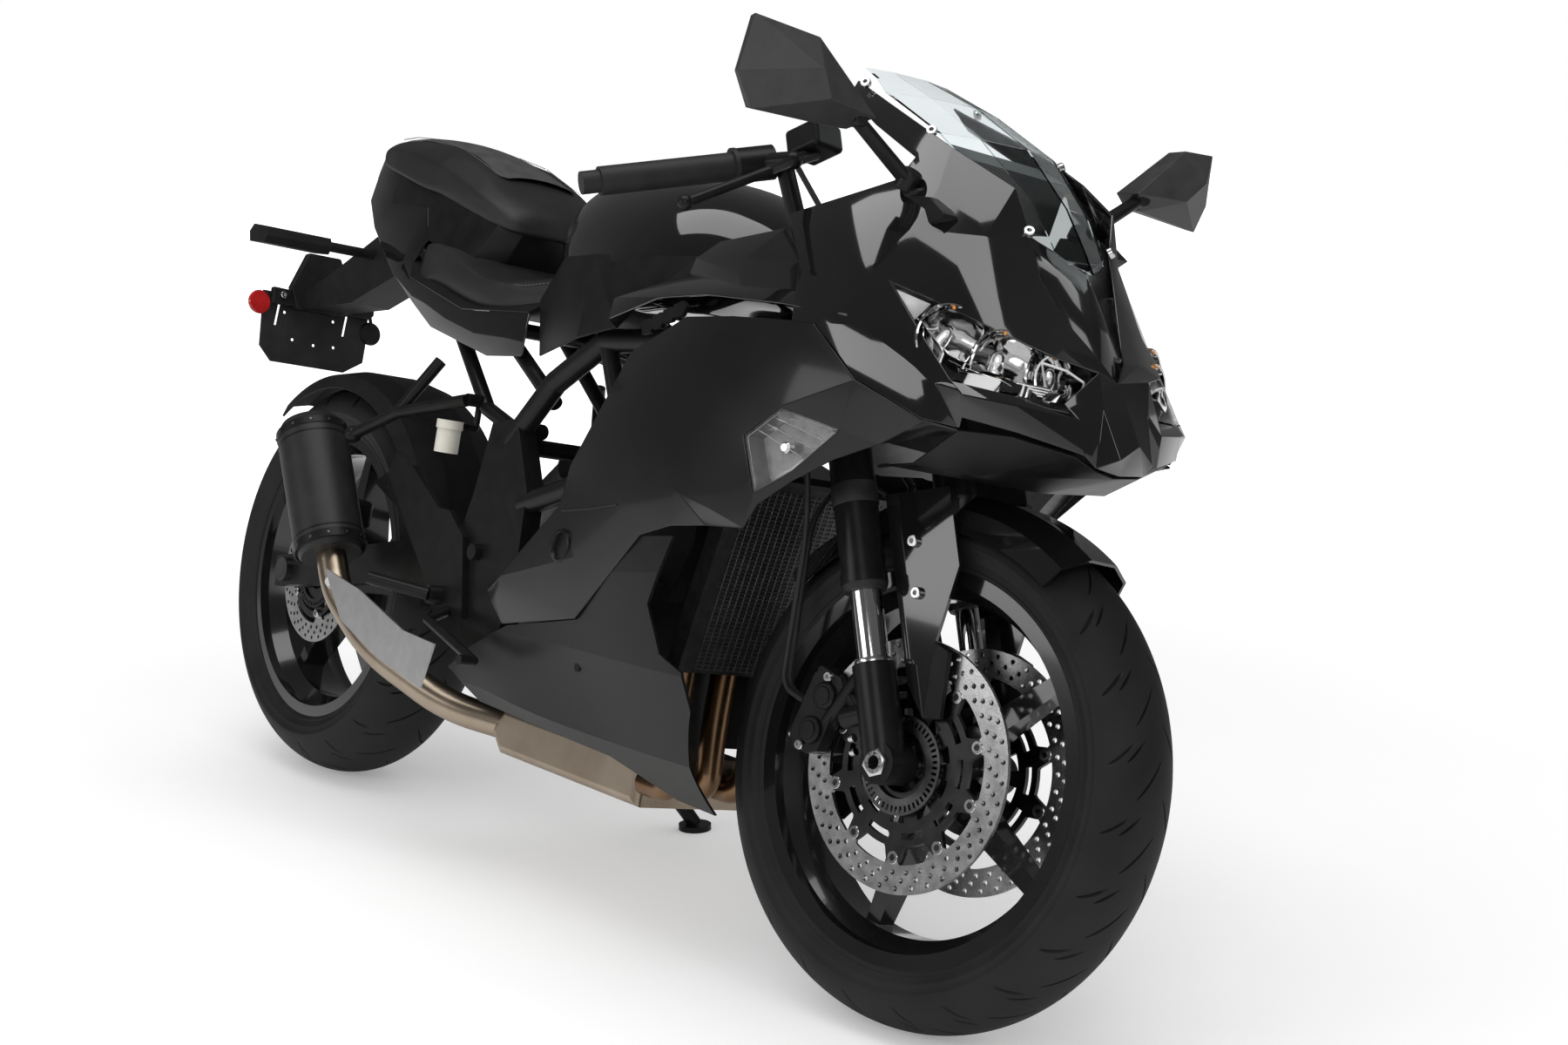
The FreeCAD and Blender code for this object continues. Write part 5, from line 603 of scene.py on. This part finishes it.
for side in SIDES:
    loop = [(846, 97, 770), (860, 72, 766), (868, 52, 757), (866, 50, 746), (855, 66, 735), (846, 84, 736)]
    ring = [(x - 5, side * y, z) for x, y, z in loop]
    hexagons += [rod(first, last, 1.3, 0.3, 8) for first, last in zip(ring, ring[1:] + ring[:1])]
    for row in range(4):
        start = (790 + row * 2, side * (176 - row), 740 + row * 2.6)
        end = (846 + row * 2, side * (92 - row), 735 + row * 2.6)
        trays.append(rod(start, end, 1.5, 0.3, 8))
joined(hexagons, "headlight_hexagons", "white", 40)
joined(trays, "headlight_trays", "chrome", 40)


# The liner under the nose

LINER = dict(
    f0=(885, -34, 664), f1=(880, -62, 676), f2=(845, -124, 686), f3=(800, -162, 684), f4=(700, -128, 640),
    f5=(655, -120, 634), f6=(655, 0, 634), f7=(780, 0, 632), f8=(880, 0, 660), f9=(780, -100, 640),
)
LINER_FACES = ["f0 f1 f9 f7 f8", "f1 f2 f9", "f2 f3 f4 f9", "f4 f5 f6 f7 f9"]
panel(LINER, LINER_FACES, "nose_liner_shaped", "satin", 30, -3, (1, 2, 20), ("nose_liner",))


# Screws round the screen and on the nose

screws = []
for side in SIDES:
    for x, y, z, out in ((470, -92, 1076, -0.8), (616, -106, 1016, -0.7), (757, -66, 913, -0.4)):
        start = flank((x, y, z), side)
        outward = Vector((0.45, side * -out, 0.45))
        screws.append(bolt(start - outward.normalized() * 2, outward, 6.5, 6))
joined(screws, "screen_screws", "bright")


# Radiator fins

BOX_FACES = [(0, 1, 3, 2), (4, 6, 7, 5), (0, 4, 5, 1), (2, 3, 7, 6), (0, 2, 6, 4), (1, 5, 7, 3)]
fins = []
low, high = Vector((370, 0, 345)), Vector((428, 0, 590))
along = (high - low).normalized()
out = Vector((along.z, 0, -along.x))
for k in range(44):
    start = low + along * (6 + k * 5.4)
    corners = [start + along * rise + out * depth + Vector((0, y, 0))
               for rise in (-0.6, 0.6) for depth in (-2.0, 1.6) for y in (-128, 128)]
    fins.append((corners, BOX_FACES))
for k in range(26):
    y = -125 + k * 10
    ends = [low + along * rise + out * 0.4 + Vector((0, y, 0)) for rise in (4, 242)]
    fins.append(rod(*ends, 1.1, 0.2, 6))
joined(fins, "radiator_fin_rows", "fin_bright")


# Fork legs: dust seals, adjusters, axle nuts and pinch bolts

SEALS = [[(514, 19), (514, 24.5), (519, 26.6), (531, 27.2), (534, 26.4), (534, 20)],
         [(616, 20), (616, 26.6), (617, 27.4), (640, 27.4), (641, 26.6), (641, 20)]]
seals, silver, gold = [], [], []
for side in SIDES:
    y = side * 98
    seals += [lathe(profile, 48, (28, y, 0), "z") for profile in SEALS]
    silver.append(lathe([(426, 18), (426, 21.5), (430, 22.5), (434, 21.5), (434, 18)], 40, (28, y, 0), "z"))
    gold.append(rod((28, y, 968), (28, y, 978), 12, 1, 6))
    for height in (336, 352):
        silver.append(bolt((-12, y, height), (-1, 0, 0), 5, 7))
    nut = [(116, 12), (116, 17), (121, 17), (122, 15), (122, 9), (118, 9)]
    silver.append(lathe(nut, 6, FRONT_AXLE, side=side))
joined(seals, "fork_seals", "grip", 40, body="steering")
joined(silver, "fork_trim", "bright", 40, body="steering")
joined(gold, "fork_adjusters", "gold", body="steering")


# Side cowls with the arch lip, fold line and lens opening

COWL = dict(
    s0=(363, -215, 769), s1=(463, -223, 775), s2=(569, -226, 777), s3=(612, -226, 776), s4=(683, -215, 722),
    s5=(776, -195, 690), s6=(808, -170, 686), e1=(561, -222, 567), e2=(600, -212, 600), e3=(650, -198, 632),
    e4=(700, -178, 658), e5=(776, -152, 682), s7=(548, -226, 538), s8=(492, -236, 532), s9=(426, -236, 523),
    s10=(365, -233, 504), s11=(221, -206, 381), s12=(45, -196, 345), s13=(-14, -191, 379),
    s14=(141, -201, 515), s15=(152, -202, 567), s16=(249, -206, 719), la=(587, -233, 679),
    lb=(533, -235, 642), lc=(562, -232, 580), ld=(661, -206, 666), le=(603, -216, 612), i4=(300, -226, 536),
    i5=(430, -240, 566), i7=(350, -228, 690), i8=(462, -237, 700), i9=(330, -232, 615),
    i10=(440, -243, 632), j1=(30, -199, 405), j2=(210, -214, 455),
)
COWL_FACES = [
    "s1 s2 la i8", "s2 s3 s4 la", "la s4 ld", "s4 s5 e4 ld", "s5 s6 e5 e4", "lc le e2 e1", "le ld e3 e2",
    "ld e4 e3", "i8 la lb", "i8 lb i10", "lb lc i5 i10", "lc e1 s7 i5", "s7 s8 i5", "s0 s1 i8 i7",
    "s16 s0 i7", "s16 i7 i9 s15", "i7 i8 i10 i9", "s15 i9 i4 s14", "i9 i10 i5 i4", "i5 s8 s9",
    "i4 i5 s9 s10", "s14 i4 j2", "i4 s10 s11 j2", "j1 j2 s11 s12", "s13 j1 s12", "s13 s14 j2 j1",
]
panel(COWL, COWL_FACES, "side_cowls", "cowl", 32, 3, (1.4, 3, 12), ("side_cowl_right", "side_cowl_left"))

# Signal lenses: clear cover, dark bed, dividers and bulb
SIGNAL = ("la", "lb", "lc", "le", "ld")
covers, beds, dividers, signal_bulbs = [], [], [], []
for side in SIDES:
    outer = [flank(COWL[name], side) for name in SIGNAL]
    middle = sum(outer, Vector()) / len(outer)
    lift = Vector((0.2, side * 1.0, 0)).normalized()
    count = len(outer)
    ring_a = [middle + (c - middle) * 0.965 for c in outer]
    ring_b = [middle + (c - middle) * 0.86 + lift * 6 for c in outer]
    corners = ring_a + ring_b + [middle + lift * 9]
    faces = band(count, 0, count)
    faces += [(count + k, count + (k + 1) % count, 2 * count) for k in range(count)]
    covers.append((corners, faces))
    back = [middle + (c - middle) * 0.82 - lift * 22 for c in outer]
    corners = outer + back
    faces = band(count, 0, count)
    faces.append(tuple(count + k for k in range(count)))
    beds.append((corners, faces))
    for share in (0.30, 0.52, 0.74):
        first = outer[0] + (outer[1] - outer[0]) * share - lift * 4
        last = outer[4] + (outer[3] - outer[4]) * share - lift * 4
        dividers.append(rod(first + (last - first) * 0.06, first + (last - first) * 0.92, 0.8, 0.2, 8))
    signal_bulbs.append(rod(middle - lift * 16, middle - lift * 3, 7, 3, 20))
bevelled(thickened(joined(covers, "signal_covers", "lens", 20, ("signal_lenses",)), 1.5), 0.6, 2, 12)
joined(beds, "signal_beds", "signal_bed", 25)
joined(dividers, "signal_dividers", "lamp_case", 40)
joined(signal_bulbs, "signal_bulbs", "chrome", 40)

# Louvres behind the brow, the groove at the fold's foot and the crash-boss rings
louvres, rings = [], []
for side in SIDES:
    for k in range(4):
        x = 262 + k * 24
        z = 742 + k * 8
        y = side * (203 + k * 3)
        loop = [(x, z), (x + 16, z + 4), (x + 22, z + 16), (x + 12, z + 22), (x - 4, z + 16)]
        louvres.append(prism(loop, y - 3, y + 3))
    groove = [(150, side * 205, 508), (232, side * 219, 520), (300, side * 229, 533)]
    louvres += [rod(first, last, 1.2, 0.3, 8) for first, last in zip(groove, groove[1:])]
    spot = (171, 0, 465)
    ring = [(198, 15), (205, 15), (214, 16), (216, 18), (215, 21), (207, 23), (202, 23)]
    rings.append(lathe(ring, 40, spot, side=side))
    rings.append(lathe([(190, PINPOINT), (198, 12), (199, 15.5)], 40, spot, side=side))
joined(louvres, "cowl_louvres", "satin")
joined(rings, "crash_boss_rings", "satin", 40)


# Tank and seats: smooth skins through the body's own half sections

def half_sections(rows):
    """Station, the middle's height and pairs of (half width, height), from thousandths to shares."""
    sections = []
    for row in rows:
        station, top, *rest = (value / 1000 for value in row)
        sections.append((station, [(0, top)] + list(zip(rest[::2], rest[1::2]))))
    return sections


def section_skin(sections):
    """A closed skin through half sections given as shares of the half width and the reach."""
    corners, faces = [], []
    for station, half in sections:
        ring = [(first * HALF_WIDTH, second * REACH) for first, second in half]
        whole = ring + [(-first, second) for first, second in ring[::-1] if first]
        corners += [(station * REACH, y, z) for y, z in whole]
    count = len(corners) // len(sections)
    for row in range(len(sections) - 1):
        faces += band(count, row * count, (row + 1) * count)
    faces.append(tuple(range(count - 1, -1, -1)))
    faces.append(tuple((len(sections) - 1) * count + k for k in range(count)))
    return corners, faces


def smoothed(thing, levels, sharp=None, amount=0.5):
    """Rounds a cage, kept sharper along the edges whose two ends pass a test."""
    if sharp:
        build = bmesh.new()
        build.from_mesh(thing.data)
        layer = build.edges.layers.float.new("crease_edge")
        for edge in build.edges:
            if all(sharp(vertex.co / MM) for vertex in edge.verts):
                edge[layer] = amount
        build.to_mesh(thing.data)
        build.free()
    round_off = thing.modifiers.new("round", "SUBSURF")
    round_off.levels = levels
    round_off.render_levels = levels
    return thing


TANK = half_sections([
    (-138, 925, 140, 917, 200, 890, 200, 862, 150, 838),
    (-120, 945, 180, 935, 340, 895, 360, 850, 280, 815),
    (-80, 963, 260, 954, 460, 900, 500, 838, 420, 790),
    (0, 972, 340, 962, 560, 900, 600, 834, 500, 775),
    (110, 974, 380, 963, 620, 890, 640, 835, 540, 775),
    (190, 966, 360, 953, 580, 884, 610, 835, 530, 785),
    (255, 944, 280, 931, 420, 880, 430, 840, 400, 800),
    (310, 898, 200, 890, 310, 865, 330, 840, 320, 812),
])
tank = joined([section_skin(TANK)], "tank_skin", "paint", 180, ("fuel_tank",))
smoothed(tank, 3, lambda c: abs(abs(c.y) - 150) < 22 and c.z < 850)
RIDER = half_sections([
    (-470, 850, 280, 846, 420, 830, 440, 800, 360, 792),
    (-440, 878, 320, 872, 470, 842, 490, 792, 360, 784),
    (-400, 874, 340, 870, 490, 840, 510, 782, 360, 776),
    (-330, 846, 380, 845, 530, 824, 550, 770, 380, 766),
    (-250, 807, 400, 807, 550, 794, 560, 752, 380, 750),
    (-160, 808, 360, 809, 510, 793, 530, 748, 360, 746),
    (-105, 832, 260, 830, 400, 806, 420, 770, 320, 766),
    (-85, 842, 200, 838, 320, 812, 340, 780, 280, 772),
])
rider = joined([section_skin(RIDER)], "rider_seat_cover", "vinyl", 180, ("rider_seat",))
smoothed(rider, 3, lambda c: abs(c.y) > 102 and c.z > 780, 0.55)
PILLION = half_sections([
    (-700, 998, 180, 994, 260, 984, 250, 968, 180, 966),
    (-670, 1014, 260, 1008, 350, 990, 340, 962, 260, 960),
    (-610, 1016, 300, 1009, 400, 988, 400, 952, 280, 950),
    (-530, 1012, 320, 1004, 430, 978, 430, 934, 300, 932),
    (-450, 996, 330, 989, 440, 962, 440, 916, 300, 914),
    (-340, 958, 320, 951, 430, 922, 430, 884, 300, 882),
    (-285, 930, 290, 924, 390, 900, 390, 874, 280, 872),
    (-258, 902, 240, 897, 320, 884, 320, 870, 240, 868),
])
pillion = joined([section_skin(PILLION)], "pillion_seat_cover", "vinyl", 180, ("pillion_seat",))
smoothed(pillion, 3, lambda c: abs(c.y) > 78 and c.z > 895)
corners = []
for station, half in PILLION[1:-2]:
    top = half[0][1] * REACH
    wide = half[1][0] * HALF_WIDTH * 0.86
    for k in range(-4, 5):
        share = k / 4
        edge_drop = 2.6 if abs(k) == 4 else 0
        corners.append((station * REACH, wide * share, top - 9 * share * share + 3.2 - edge_drop))
faces = [(base, base + 1, base + 10, base + 9) for row in range(0, len(corners) - 9, 9)
         for base in range(row, row + 8)]
patch = smoothed(joined([(corners, faces)], "pillion_seat_pad", "pad", 180), 2)


def stitch_route(points, step=6.0, length=3.6, radius=0.7):
    """Short thread stitches along a route."""
    stitches = []
    for first, last in zip(points, points[1:]):
        first, last = Vector(first), Vector(last)
        span = (last - first).length
        for k in range(int(span / step)):
            start = first + (last - first) * ((k + 0.2) * step / span)
            end = start + (last - first).normalized() * length
            stitches.append(rod(start, end, radius, 0.2, 6))
    return stitches


stitches = []
for side in SIDES:
    stitches += stitch_route([(s * REACH, side * half[1][0] * HALF_WIDTH * 0.88, half[0][1] * REACH - 4.6)
                              for s, half in PILLION[1:-2]])
    stitches += stitch_route([(s * REACH, side * half[2][0] * HALF_WIDTH * 0.93, half[2][1] * REACH + 1.5)
                              for s, half in RIDER[2:-1]])
joined(stitches, "seat_stitches", "thread", 40)


# Front calipers: halves, bridges, pistons, bolts, hose unions, bleed nipples and feet

def caliper(side):
    body, steel = [], []
    plane = side * DISC_PLANE
    outer = plane + side * 25
    centre = Vector((-72, 0, 396))
    away = Vector((centre.x - FRONT_AXLE[0], 0, centre.z - FRONT_AXLE[2])).normalized()
    tangent = Vector((-away.z, 0, away.x))

    def spot(across, up, y):
        point = centre + tangent * across + away * up
        return Vector((point.x, y, point.z))

    loop = [(-50, -14), (-42, -24), (40, -24), (50, -10), (50, 12), (36, 25), (-38, 25), (-50, 12)]
    for near, far in ((5, 25), (-25, -5)):
        corners, faces = prism(loop, plane + near, plane + far)
        body.append(([tuple(spot(a, u, y)) for a, y, u in corners], faces))
    for a in (-42, 0, 42):
        body.append(rod(spot(a, 21, plane - 20), spot(a, 21, plane + 20), 7, 1, 20))
    for a in (-22, 22):
        body.append(rod(spot(a, -4, outer - side * 2), spot(a, -4, outer + side * 6), 16, 2, 32))
        body.append(rod(spot(a, -4, outer + side * 5), spot(a, -4, outer + side * 8), 11, 1, 32))
    for a in (-44, 44):
        steel.append(bolt(spot(a, 0, outer), (0, side, 0), 6, 7))
    steel.append(rod(spot(0, 24, plane), spot(0, 34, plane), 6.5, 1, 6))
    steel.append(rod(spot(46, 22, plane + side * 12), spot(46, 34, plane + side * 12), 3.2, 0.5, 16))
    for a, up in ((-58, -6), (58, -2)):
        foot = Vector((6, side * 86, 352 if a < 0 else 430))
        body.append(rod(spot(a * 0.8, up, plane + side * 14), foot, 9, 1, 20))
    return body, steel


body, steel = (sum(parts, []) for parts in zip(*(caliper(side) for side in SIDES)))
bevelled(joined(body, "caliper_halves", "satin", 30, ("front_calipers",), "steering"), 1.6, 2, 30)
joined(steel, "caliper_bolts", "bright", body="steering")

# Fender: bolts and matte tips
bolts, tips = [], []
for side in SIDES:
    for x, z in ((92, 560), (88, 500)):
        bolts.append(bolt((x, side * 79, z), (0, side, 0), 7, 6))
    tips.append(prism([(74, 357), (104, 440), (122, 424), (98, 352)], side * 73, side * 81))
joined(bolts, "fender_bolts", "bright", body="steering")
bevelled(joined(tips, "fender_tips", "plastic", body="steering"), 1.2, 2, 30)


# Tail cowls: outer facets, and the inner panels round the seats

TAIL = dict(
    z0=(-699, -66, 988), z1=(-678, -86, 952), z2=(-672, -98, 905), z3=(-632, -106, 862),
    z4=(-533, -118, 794), z5=(-446, -126, 753), z6=(-374, -131, 720), z7=(-201, -136, 690),
    z8=(-110, -137, 696), z9=(-100, -141, 756), y0=(-277, -140, 750), y1=(-455, -129, 788),
    y2=(-470, -122, 812), y3=(-448, -114, 848), y4=(-474, -108, 898), y5=(-586, -107, 903),
    y6=(-590, -96, 945), x8=(-600, -92, 968), n0=(-277, -110, 778), n1=(-455, -106, 810),
    n2=(-110, -96, 780), n3=(-530, -104, 850), t1=(-620, -90, 952), t2=(-530, -101, 938),
    t3=(-450, -103, 920), t4=(-340, -101, 892), t5=(-292, -93, 880), t6=(-272, -60, 876), t7=(-266, 0, 876),
    e4=(-385, -119, 836), e5=(-320, -112, 826), e6=(-296, -72, 822), e7=(-290, 0, 818),
)
TAIL_FACES = [
    "z0 z1 y6 x8", "z1 z2 y5 y6", "z2 z3 y5", "z3 z4 y4 y5", "z4 z5 y1 y2", "z4 y2 y3 y4", "z5 z6 y0 y1",
    "z6 z7 z8 z9 y0",
]
STEP_FACES = [
    "y6 t1 t2 y5", "t2 t3 y4 y5", "t3 y3 y4", "t3 t4 e4 y3", "t4 t5 e5 e4", "t5 t6 e6 e5", "t6 t7 e7 e6",
    "y1 y0 n0 n1", "y0 z9 n2 n0", "y1 n1 n3 y2", "y2 n3 y3",
]
panel(TAIL, STEP_FACES, "seat_step_panels", "satin", 35, 2.5, (1.5, 2, 15))
panel(TAIL, TAIL_FACES, "tail_panels", "paint", 25, 3, (1.2, 2, 12), ("tail_cowls",))

# Number plate with slots and holes, carrier bar, reflectors and indicators
low, high = Vector((-965, 0, 630)), Vector((-985, 0, 745))
up = (high - low).normalized()
out = Vector((-up.z, 0, up.x))
outline = [(-78, 0), (60, 0), (96, 22), (100, 60), (100, 118), (-100, 118), (-100, 24)]
holes = [ring_points(2.6, 12, spot) for spot in ((-40, 42), (0, 38), (38, 40), (-58, 86), (34, 84))]
holes += [[(-76, 62), (-72, 62), (-66, 104), (-70, 104)], [(52, 62), (56, 62), (62, 104), (58, 104)]]


def on_plate(part):
    return [tuple(low + Vector((0, x, 0)) + up * z + out * y) for x, y, z in part[0]], part[1]


blank = on_plate(plate(outline, holes, 0, 3))
bevelled(joined([blank], "blank_plate", "plate", 30, ("number_plate",)), 0.8, 2, 40)
bar = [on_plate(prism([(-88, 96), (96, 96), (104, 104), (104, 118), (-88, 124)], -14, -2))]
bar += [on_plate(prism([(-46, 92), (46, 92), (58, 128), (30, 190), (-30, 190), (-58, 128)], -20, -4))]
bevelled(joined(bar, "plate_carrier", "plastic"), 2, 2, 30)
carrier_bolts = []
for x, z in ((-70, 112), (-20, 112), (22, 110), (66, 108)):
    corners, faces = on_plate(bolt((x, 0, z), (0, -1, 0), 6, 5))
    carrier_bolts.append(([Vector(c) - out * 14 for c in corners], faces))
joined(carrier_bolts, "plate_bolts", "bright")
dome = [(-4, PINPOINT), (-4, 18), (-1, 20), (3, 19), (6, 12), (7, PINPOINT)]
joined([on_plate(lathe(dome, 40, (-106, 0, 96)))], "red_reflector", "red", 40)
stem = rod((100, -4, 108), (106, -4, 84), 3, 0.5, 12)
joined([on_plate(lathe(dome, 40, (106, 0, 74))), on_plate(stem)], "black_reflector", "plastic", 40)
pods = []
for side in SIDES:
    pods.append(rod((-752, side * 30, 826), (-762, side * 122, 826), 8, 1, 20))
    loop = [(-790, 812), (-742, 812), (-734, 824), (-742, 838), (-784, 840), (-796, 828)]
    pods.append(prism(loop, side * 118, side * 232))
bevelled(joined(pods, "indicator_pods", "plastic", 30, ("rear_indicators",)), 4, 3, 30)

# Mirrors: ridged kite shells, arms with two pivots, and the glass
MIRROR = dict(
    m1=(610, -375, 1086), m2=(632, -300, 1077), m3=(645, -215, 1008), m4=(628, -240, 990),
    m5=(612, -362, 986), m6=(606, -383, 1023), m7=(664, -312, 1040), m8=(656, -290, 1012),
    g1=(600, -373, 1084), g2=(604, -300, 1075), g3=(606, -217, 1008), g4=(604, -240, 992),
    g5=(600, -360, 988), g6=(598, -381, 1023),
)
MIRROR_FACES = [
    "m1 m2 m7", "m2 m3 m8 m7", "m3 m4 m8", "m4 m5 m8", "m5 m6 m7 m8", "m6 m1 m7", "m1 g1 g2 m2",
    "m2 g2 g3 m3", "m3 g3 g4 m4", "m4 g4 g5 m5", "m5 g5 g6 m6", "m6 g6 g1 m1",
]
panel(MIRROR, MIRROR_FACES, "mirror_shells", "mirror_shell", 15, 2.5, (4, 3, 8), ("mirrors",))
glass_points = shifted(MIRROR, "g1 g2 g3 g4 g5 g6", (3, 0, 0))
panel(glass_points, ["g1 g2 g3 g4 g5 g6"], "mirror_glasses", "mirror", 30, 2)
arms = []
for side in SIDES:
    base = Vector((640, side * 136, 936))
    knee = Vector((640, side * 150, 950))
    tip = Vector((632, side * 232, 1003))
    arms.append(rod(base - Vector((0, side * 4, 6)), base + Vector((2, side * 2, 12)), 17, 3, 32))
    arms.append(rod(knee + Vector((-6, 0, -8)), knee + Vector((6, 0, 12)), 13, 2, 32))
    for shift in (-6, 0, 6):
        arms.append(rod(knee + Vector((shift, 0, 0)), tip + Vector((shift * 0.7, 0, 0)), 6, 1, 16))
    arms.append(rod(tip - Vector((10, 0, 0)), tip + Vector((12, 0, 0)), 9, 2, 24))
    foot = [(600, 912), (690, 905), (708, 916), (680, 934), (612, 936)]
    arms.append(prism(foot, side * 128, side * 150))
bevelled(joined(arms, "mirror_arms", "satin", 40), 1.5, 2, 40)

# Brow panels over the side cowls, and the black panels above them
BROW = dict(
    b0=(184, -206, 756), b1=(184, -202, 784), b2=(292, -210, 790), b3=(400, -222, 798), b4=(546, -226, 796),
    b5=(653, -217, 790), b6=(300, -178, 824), b7=(296, -168, 846), b8=(441, -206, 812), b9=(560, -212, 812),
    a1=(335, -166, 868), a2=(420, -188, 848), a3=(500, -200, 884), a4=(640, -206, 802), a5=(406, -186, 830),
    a6=(556, -208, 846), c1=(200, -160, 800), c2=(60, -158, 842), c3=(-20, -150, 836), c4=(-92, -132, 776),
    c5=(-60, -140, 700), c6=(60, -165, 730), c7=(180, -190, 748), c8=(274, -150, 850),
)
BROW_FACES = [
    "b0 b1 b2", "b1 b6 b2", "b2 b6 b8 b3", "b6 b7 a5 b8", "b8 b9 b4 b3", "b9 a4 b5 b4", "b7 a1 a2 a5",
    "a1 a3 a2", "a2 a3 a6", "a5 a2 a6 b9 b8", "a6 a4 b9",
]
panel(BROW, BROW_FACES, "brow_panels", "paint", 25, 3, (2.5, 3, 10), ("side_covers",))
SIDE_FACES = ["b1 c1 b6", "c1 c8 b7 b6", "c1 c2 c8", "c2 c1 c7 c6", "c3 c2 c6 c5", "c4 c3 c5", "c1 b1 b0 c7"]
panel(BROW, SIDE_FACES, "knee_panels", "satin", 25, 3, (2, 2, 10))

# Silencer: end rings and rivets along its own axis
start, end = Vector((-432, -0.8 * HALF_WIDTH, 366)), Vector((-556, -0.8 * HALF_WIDTH, 545))
axis = (end - start).normalized()
turn = axis.to_track_quat("Z", "Y")
rings, rivets = [], []
for at, radius, length in ((7, 53.2, 13), (26, 52.6, 3), (184, 52.6, 3), (196, 53.2, 12)):
    first = start + axis * at
    profile = [(0, 50), (0, radius), (length, radius), (length, 50)]
    rings.append(aimed(lathe(profile, 48, axis="z"), first, first + axis))
for at in (13, 202):
    for x, y in ring_points(1, 12):
        away = turn @ Vector((x, y, 0))
        spot = start + axis * at + away * 53
        rivets.append(rod(spot, spot + away * 1.6, 2.4, 0.6, 10))
bevelled(joined(rings, "silencer_rings", "satin", 40), 0.6, 2, 40)
joined(rivets, "silencer_rivets", "dark_steel", 40)

# Heel guards beside the rearsets
guards = []
for side in SIDES:
    loop = [(-411, 482), (-380, 500), (-295, 521), (-262, 500), (-216, 424), (-237, 390), (-268, 400),
            (-330, 452)]
    holes = [ring_points(4, 12, spot) for spot in ((-375, 480), (-300, 496), (-245, 420))]
    guard = plate(loop, holes, 0, 3)
    guards.append(([(x, side * 157 + y * side, z) for x, y, z in guard[0]],
                   [face if side < 0 else face[::-1] for face in guard[1]]))
bevelled(joined(guards, "heel_guards", "satin"), 1, 2, 40)


# Studio

def area_light(name, place, aim, width, height, power):
    light = bpy.data.lights.new(name, "AREA")
    light.shape = "RECTANGLE"
    light.size = width
    light.size_y = height
    light.energy = power
    thing = new_object(name, light)
    thing.location = place
    thing.rotation_euler = (Vector(aim) - Vector(place)).to_track_quat("-Z", "Y").to_euler()


def studio():
    world = bpy.data.worlds.new("studio")
    bpy.context.scene.world = world
    world.use_nodes = True
    tree = world.node_tree
    tree.nodes.clear()
    link = tree.links.new
    back = node_of(tree, "Background", Color=(1, 1, 1, 1))
    link(back.outputs[0], node_of(tree, "OutputWorld").inputs[0])
    path = node_of(tree, "LightPath")
    seen = node_of(tree, "Math")
    seen.operation = "ADD"
    seen.use_clamp = True
    link(path.outputs["Is Camera Ray"], seen.inputs[0])
    link(path.outputs["Is Transmission Ray"], seen.inputs[1])
    dim = node_of(tree, "MapRange", To_Min=0.66, To_Max=0.10)
    link(path.outputs["Is Glossy Ray"], dim.inputs["Value"])
    level = node_of(tree, "MapRange", To_Max=1.0)
    link(seen.outputs[0], level.inputs["Value"])
    link(dim.outputs[0], level.inputs["To Min"])
    link(level.outputs[0], back.inputs["Strength"])
    area_light("top_box", (0.4, -0.3, 3.4), (0.1, 0.1, 0.6), 3.2, 1.6, 42)
    area_light("key_box", (3.2, -2.6, 2.2), (0.3, 0, 0.5), 1.6, 1.6, 22)
    area_light("side_box", (-0.6, -3.2, 1.6), (0, 0, 0.5), 2.4, 0.8, 16)
    floor_mesh = bpy.data.meshes.new("floor")
    floor_mesh.from_pydata([(-40, -40, 0), (40, -40, 0), (40, 40, 0), (-40, 40, 0)], [], [(0, 1, 2, 3)])
    floor = new_object("floor", floor_mesh)
    pale = finish_of("studio_floor", 0.88, 0.90, 0.55, 0.03, scale=0.8, specular=0.2)
    tree = pale.node_tree
    link = tree.links.new
    shader = next(n for n in tree.nodes if n.type == "BSDF_PRINCIPLED")
    far = node_of(tree, "VectorMath")
    far.operation = "LENGTH"
    link(node_of(tree, "TexCoord").outputs["Object"], far.inputs[0])
    fade = node_of(tree, "MapRange", From_Min=1.2, From_Max=5.0, To_Min=0.24, To_Max=1.0)
    fade.interpolation_type = "SMOOTHSTEP"
    link(far.outputs["Value"], fade.inputs["Value"])
    glow = node_of(tree, "Math")
    glow.operation = "MULTIPLY"
    link(node_of(tree, "LightPath").outputs["Is Camera Ray"], glow.inputs[0])
    link(fade.outputs[0], glow.inputs[1])
    set_inputs(shader, Emission_Color=(1, 1, 1, 1))
    link(glow.outputs[0], shader.inputs["Emission Strength"])
    floor_mesh.materials.append(pale)


def camera():
    data = bpy.data.cameras.new("camera")
    data.lens = 53.03
    data.sensor_width = 36
    data.sensor_fit = "HORIZONTAL"
    data.clip_end = 200
    thing = new_object("camera", data)
    thing.location = (2.5879, -1.6783, 1.0186)
    thing.rotation_euler = Vector((-0.770590, 0.614729, -0.168225)).to_track_quat("-Z", "Y").to_euler()
    bpy.context.scene.camera = thing
    bpy.context.scene.view_settings.view_transform = "Standard"


studio()
camera()
